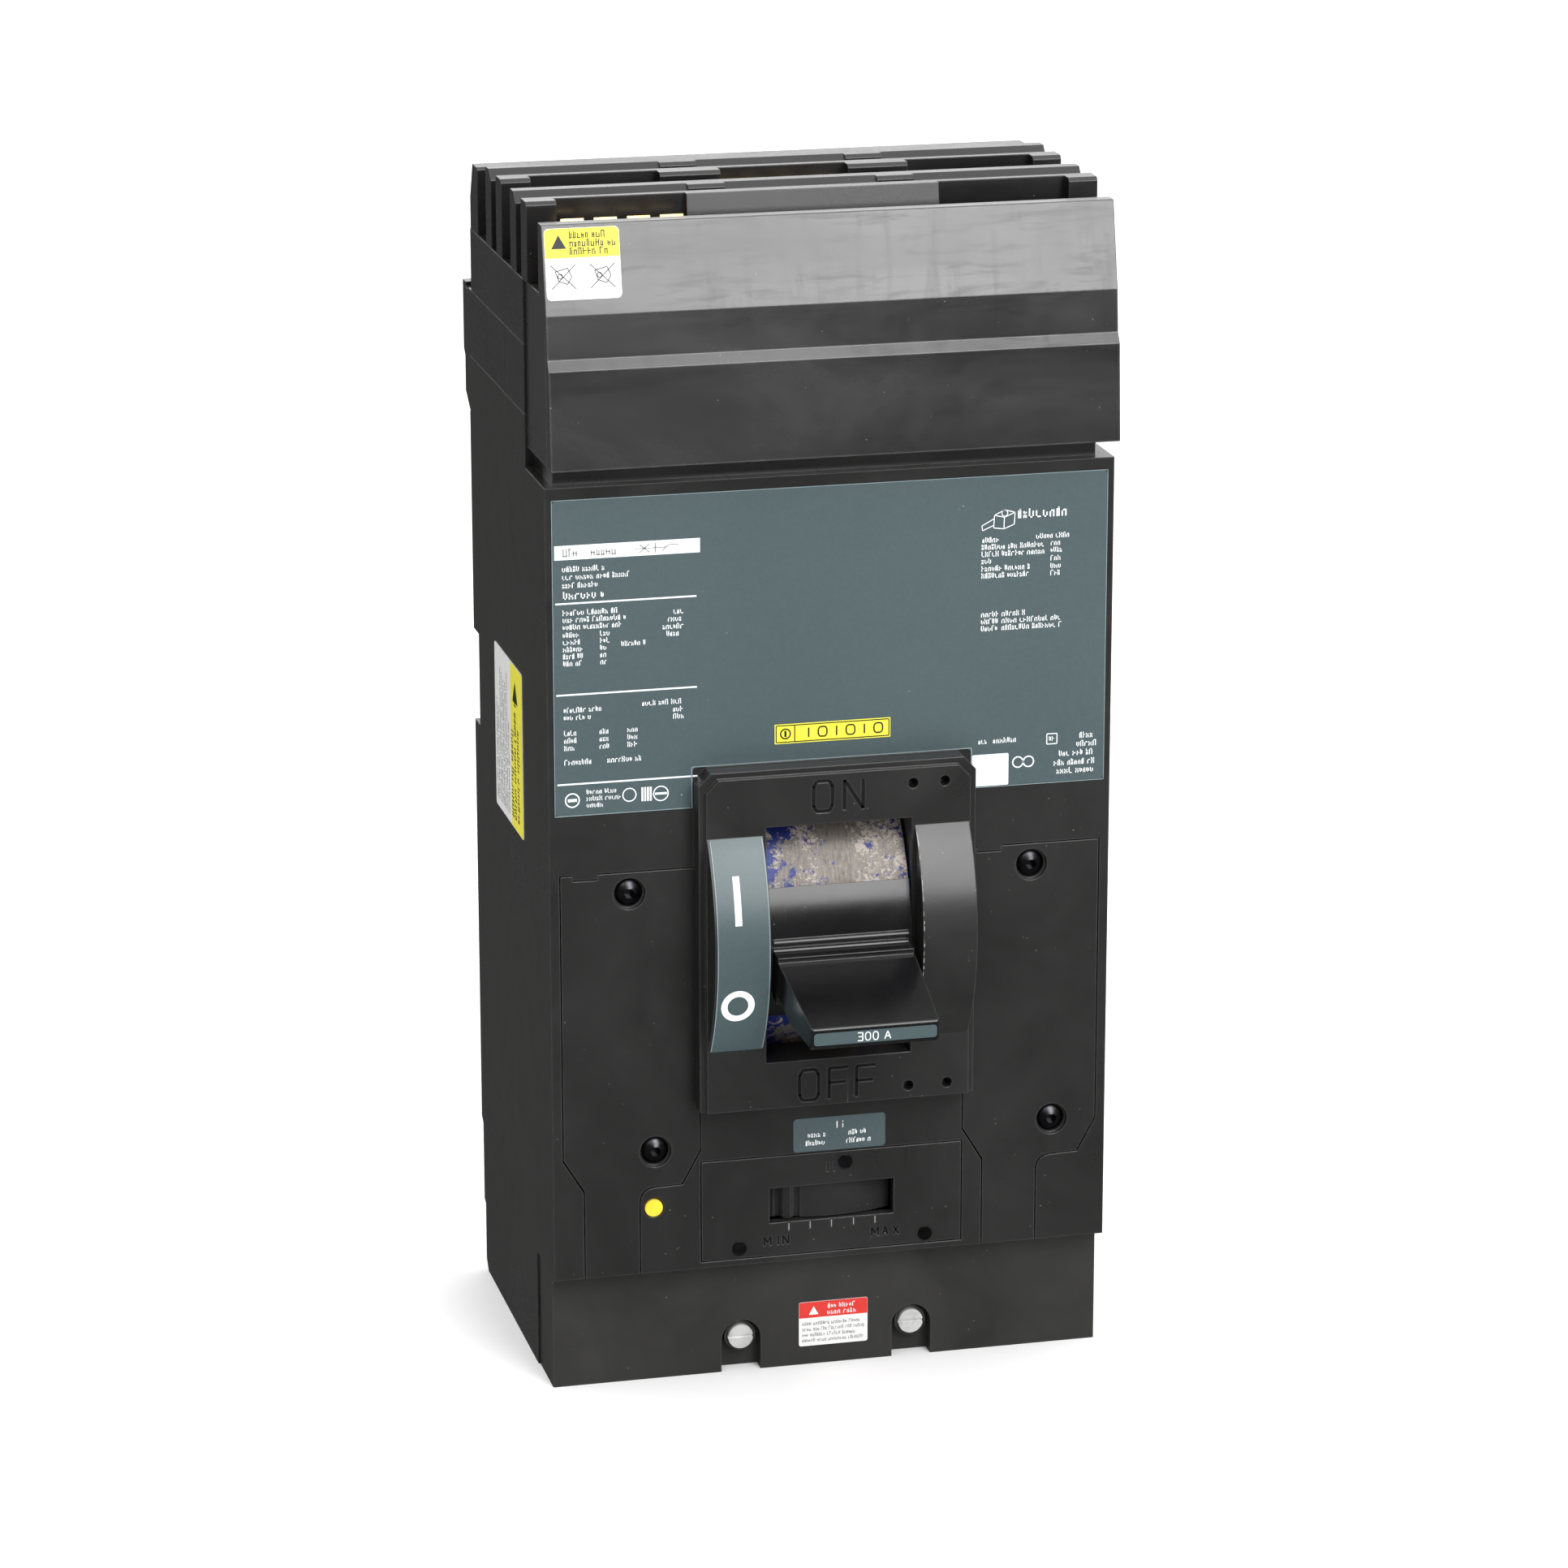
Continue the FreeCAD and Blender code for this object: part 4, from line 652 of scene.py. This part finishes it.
def main_label():
    rules = Ink(on_front(MAIN_LABEL))
    rules.bar(-73.8, -35.4, 230.4, 234.2)
    for level in (218.8, 194.4, 170.3):
        rules.bar(-73.7, -36.4, level - 0.22, level + 0.22)
    rules.finish("main_label_lines", "print")

    text = Ink(on_front(MAIN_LABEL))
    ratings_block(text)
    plain_marks(text)
    wiring_block(text)
    corner_block(text)
    connector_icon(text)
    text.finish("main_label_text", "print")

    white_band()
    tag = Ink(on_front(MAIN_LABEL))
    tag.polygon(rounded(38.1, 48.1, 162.0, 170.7, 0.4))
    tag.finish("label_blank_tag", "print")
    yellow_badge()


# ---------------------------------------------------------------- small labels and stickers

def io_label():
    """The I and the O on the left arch, the I in steps so that it follows the curve."""
    ink = Ink(on_arc(IO_LABEL_RADIUS))
    low, high, steps = 133.5, 146.0, 10
    step = (high - low) / steps
    for k in range(steps):
        ink.bar(-30.1, -28.3, low + step * k, low + step * (k + 1))
    ink.ring(-29.2, 111.0, 4.6, 1.75, 48, 0.98)
    ink.finish("io_label_marks", "print")


def adjuster_label():
    ink = Ink(on_front(ADJUSTER_LABEL))
    lettering(ink, "Ii", 0.9, 69.5, 1.9, 0.13)
    for left in (-6.6, 4.6):
        ink.words(left, left + 4.6, 67.3, 1.5)
        ink.words(left - 0.6, left + 5.4, 65.0, 1.5)
    ink.finish("adjuster_label_mark", "print")
    scale = Ink(on_front(ADJUSTER_COVER))
    for x in (-11.8, -5.9, 0.0, 6.1, 12.1):
        scale.bar(x - 0.13, x + 0.13, 41.5, 43.4)
    scale.finish("adjuster_scale_marks", "pale_ink")


def rating_label():
    ink = Ink(on_front(RATING_LABEL))
    lettering(ink, "300", -4.8, 109.8, 2.15, 0.13, 0.62, 0.34)
    lettering(ink, "A", 2.4, 109.8, 2.15, 0.13, 0.75, 0.26)
    ink.finish("rating_label_mark", "print", "handle_body")


def plain_triangle(ink, u, v, size):
    ink.polygon([(u - size / 2, v), (u + size / 2, v), (u, v + size * 0.88)])


def upright_words(ink, u, v0, v1, size):
    """Greeked text that runs upwards."""
    turned = Ink(lambda a, b: (a, b))
    turned.words(v0, v1, 0.0, size)
    for face in turned.faces:
        ink.polygon([(u + size - turned.verts[i][1], turned.verts[i][0]) for i in face])


def crossed_sketch(ink, u, v):
    """Crossed-out outline of a plain part with a hole."""
    width = 0.2
    ink.path([(u - 2.0, v + 4.6), (u - 1.2, v + 2.2), (u + 1.0, v + 1.4), (u + 2.2, v + 3.2),
              (u + 1.2, v + 5.4), (u - 2.0, v + 4.6)], width)
    ink.ring(u - 0.8, v + 3.4, 0.7, width)
    ink.path([(u - 3.2, v + 0.2), (u + 3.2, v + 6.2)], width)
    ink.path([(u - 3.2, v + 6.2), (u + 3.2, v + 0.2)], width)


def line_end_sticker():
    """Sticker on the line end's sloped facet: yellow heading over two crossed sketches."""
    band = Ink(on_facet(1))
    outline = rounded(-75.0, -55.7, 298.6, 316.2, 1.3)
    band.polygon([(u, max(v, 308.9)) for u, v in outline])
    band.finish("line_sticker_band", "bright_yellow")
    ink = Ink(on_facet(2))
    plain_triangle(ink, -71.4, 311.2, 3.9)
    for v, right in ((313.7, -60.0), (311.6, -57.0), (309.6, -58.6)):
        ink.words(-68.6, right, v, 1.8)
    crossed_sketch(ink, -70.6, 301.0)
    crossed_sketch(ink, -60.4, 301.0)
    ink.finish("line_sticker_ink", "ink")


def side_sticker():
    """Sticker of the left side, its greeked text running upwards."""
    band = Ink(on_left_side(1))
    band.polygon([(min(d, 49.0), h) for d, h in rounded(33.4, 70.7, 145.7, 191.2, 1.0)])
    band.finish("side_sticker_band", "bright_yellow")
    ink = Ink(on_left_side(2))
    for k, length in enumerate((26.0, 32.0, 24.0)):
        upright_words(ink, 37.4 + 4.0 * k, 148.5, 148.5 + length, 3.0)
    plain_triangle(ink, 42.6, 181.0, 7.0)
    for k in range(8):
        upright_words(ink, 51.4 + 2.3 * k, 148.0, 148.0 + random.uniform(24.0, 39.0), 1.3)
    ink.finish("side_sticker_ink", "ink")


def lug_sticker():
    """Small sticker on the lug cover, red above white."""
    red = Ink(on_front(LUG_STICKER))
    red.polygon([(u, max(v, 13.4)) for u, v in rounded(-7.65, 11.45, 5.35, 17.95, 0.6)])
    red.finish("lug_sticker_red", "red")
    mark = Ink(on_front(LUG_STICKER, 2))
    plain_triangle(mark, -3.6, 14.3, 2.7)
    mark.finish("lug_sticker_mark", "print")
    text = Ink(on_front(LUG_STICKER, 2))
    for v, right in ((11.2, 9.2), (9.6, 10.4), (8.0, 8.4), (6.4, 10.2)):
        text.words(-6.8, right, v, 1.0)
    text.finish("lug_sticker_ink", "pale_ink")
    heading = Ink(on_front(LUG_STICKER, 2))
    heading.words(0.4, 7.4, 15.8, 1.4, 0.4)
    heading.words(0.2, 8.4, 14.0, 1.4, 0.4)
    heading.finish("lug_sticker_heading", "print")


def label_edges():
    """Thin lighter outlines that show at the cut edges of the labels."""
    ink = Ink(on_front(MAIN_LABEL))
    ink.path([(-74.4, 161.7), (-38.0, 161.7)], 0.22)
    ink.path([(-74.4, 161.7), (-74.4, 246.1), (74.4, 246.1), (74.4, 161.7), (38.1, 161.7)], 0.16)
    ink.path([(-37.9, 161.7), (-37.9, 172.75), (37.9, 172.75), (37.9, 161.7)], 0.3)
    ink.finish("main_label_edges", "label_edge")
    arc = Ink(on_arc(IO_LABEL_RADIUS))
    low, high, steps = 96.6, 154.4, 56
    step = (high - low) / steps
    for x in (-35.0, -21.1):
        for k in range(steps):
            arc.bar(x, x + 0.22, low + step * k, low + step * (k + 1))
    arc.finish("io_label_edges", "label_edge")


# ---------------------------------------------------------------- wear, paint and painted shade

def dimple_painted_shade():
    """Painted shade: dark disks on the floors of the four dimples beside ON and OFF."""
    ink = Ink(on_front(DIMPLE_FLOOR, 0))
    radius, steps = 1.3, 16
    for x, h in ((20.1, 166.4), (28.7, 166.5), (19.2, 82.5), (29.8, 82.5)):
        turns = [2 * math.pi * k / steps for k in range(steps)]
        ink.polygon([(x + radius * math.cos(a), h + radius * math.sin(a)) for a in turns])
    ink.finish("dimple_painted_shade", "shade_paint")


def window_marks():
    """Rubbed whitish flash along the right arch and a streak of paint inside the window."""
    flash = Ink(on_arc(ARCH_RADIUS))
    v = 99.0
    while v < 153.0:
        step = random.uniform(0.5, 1.4)
        width = random.uniform(0.05, 0.34)
        if random.random() < 0.7:
            flash.bar(20.7, 20.7 + width, v, min(v + step, 154.0))
        v += step
    flash.finish("arch_flash", "pale_ink")
    streak = Ink(lambda d, h: at(19.70, d, h))
    h = 118.0
    while h < 147.0:
        step = random.uniform(0.8, 2.0)
        front = -6.9 + random.uniform(0.0, 0.25)
        streak.bar(front, front + random.uniform(0.5, 1.1), h, h + step)
        h += step
    streak.finish("window_paint_streak", "blue")


# strokes of the engraved characters: (u, v) from and to
ENGRAVED = {
    "O": ((0.15, 0, 0.85, 0), (0.85, 0, 1, 0.2), (1, 0.15, 1, 0.85), (1, 0.8, 0.85, 1),
          (0.85, 1, 0.15, 1), (0.15, 1, 0, 0.8), (0, 0.85, 0, 0.15), (0, 0.2, 0.15, 0)),
    "N": ((0, 0, 0, 1), (0, 1, 1, 0), (1, 0, 1, 1)),
    "F": ((0, 0, 0, 1), (0, 1, 1, 1), (0, 0.52, 0.85, 0.52)),
    "M": ((0, 0, 0, 1), (0, 1, 0.6, 0.3), (0.6, 0.3, 1.2, 1), (1.2, 0, 1.2, 1)),
    "I": ((0.3, 0, 0.3, 1),),
    "A": ((0, 0, 0.5, 1), (0.5, 1, 1, 0), (0.2, 0.35, 0.8, 0.35)),
    "X": ((0, 0, 1, 1), (0, 1, 1, 0)),
}
LETTER_WIDTH = 0.62       # of an engraved letter, as a share of its height


def engraved_painted_shade():
    """Painted shade: dark strokes on the floors of the engraved words."""
    large = Ink(on_front(WORD_FLOOR))
    small = Ink(on_front(MARK_FLOOR))
    for ink, text, places, v, size, width in (
            (large, "ON", (-6.9, 1.4), 160.4, 8.2, 0.80),
            (large, "OFF", (-10.7, -2.6, 4.9), 80.6, 8.5, 0.80),
            (small, "MIN", (-18.6, -15.2, -13.4), 37.5, 2.4, 0.38),
            (small, "MAX", (11.2, 14.2, 17.2), 37.6, 2.4, 0.38)):
        wide = size * LETTER_WIDTH
        for character, u in zip(text, places):
            for au, av, bu, bv in ENGRAVED[character]:
                ink.stroke((u + au * wide, v + av * size), (u + bu * wide, v + bv * size), width)
    large.finish("engraved_word_painted_shade", "shade_paint")
    small.finish("engraved_mark_painted_shade", "shade_paint")


# ---------------------------------------------------------------- stage

def white_floor():
    mat = new_material("floor_white", (0.88, 0.88, 0.88), 0.75)[0]
    r, z = FLOOR_REACH, cad_box[0][2]
    mesh = bpy.data.meshes.new("floor")
    mesh.from_pydata([(-r, -r, z), (r, -r, z), (r, r, z), (-r, r, z)], [], [(0, 1, 2, 3)])
    mesh.materials.append(mat)
    floor = bpy.data.objects.new("floor", mesh)
    bpy.context.collection.objects.link(floor)
    # gloss on the black case is left to the softboxes
    floor.visible_glossy = False


def tent():
    """A world that is bright overhead and dim near the horizon."""
    world = bpy.data.worlds.new("studio")
    world.use_nodes = True
    bpy.context.scene.world = world
    tree = world.node_tree
    sky = tree.nodes.new("ShaderNodeTexCoord")
    axes = tree.nodes.new("ShaderNodeSeparateXYZ")
    tree.links.new(sky.outputs["Generated"], axes.inputs[0])
    bright = ramp(tree, axes.outputs["Z"], [(0.42, grey(0.05)), (0.72, grey(1.0))])
    background = tree.nodes["Background"]
    background.inputs["Strength"].default_value = TENT_STRENGTH
    tree.links.new(bright, background.inputs["Color"])


def softboxes():
    for name, place, target, width, height, power in SOFTBOXES:
        data = bpy.data.lights.new(name, "AREA")
        data.shape = "RECTANGLE"
        data.size = width
        data.size_y = height
        data.energy = power
        obj = bpy.data.objects.new(name, data)
        bpy.context.collection.objects.link(obj)
        obj.location = place
        obj.rotation_euler = (Vector(target) - Vector(place)).to_track_quat("-Z", "Y").to_euler()


def camera():
    data = bpy.data.cameras.new("camera")
    data.sensor_width = SENSOR
    data.lens = CAMERA_LENS
    data.clip_end = 20.0
    obj = bpy.data.objects.new("camera", data)
    bpy.context.collection.objects.link(obj)
    obj.location = at(*CAMERA_PLACE)
    obj.rotation_euler = [math.radians(a) for a in CAMERA_TURN]
    bpy.context.scene.camera = obj


paint_nodes()
main_label()
io_label()
adjuster_label()
rating_label()
line_end_sticker()
side_sticker()
lug_sticker()
label_edges()
dimple_painted_shade()
window_marks()
engraved_painted_shade()
white_floor()
tent()
softboxes()
camera()
bpy.context.scene.view_settings.view_transform = "Standard"
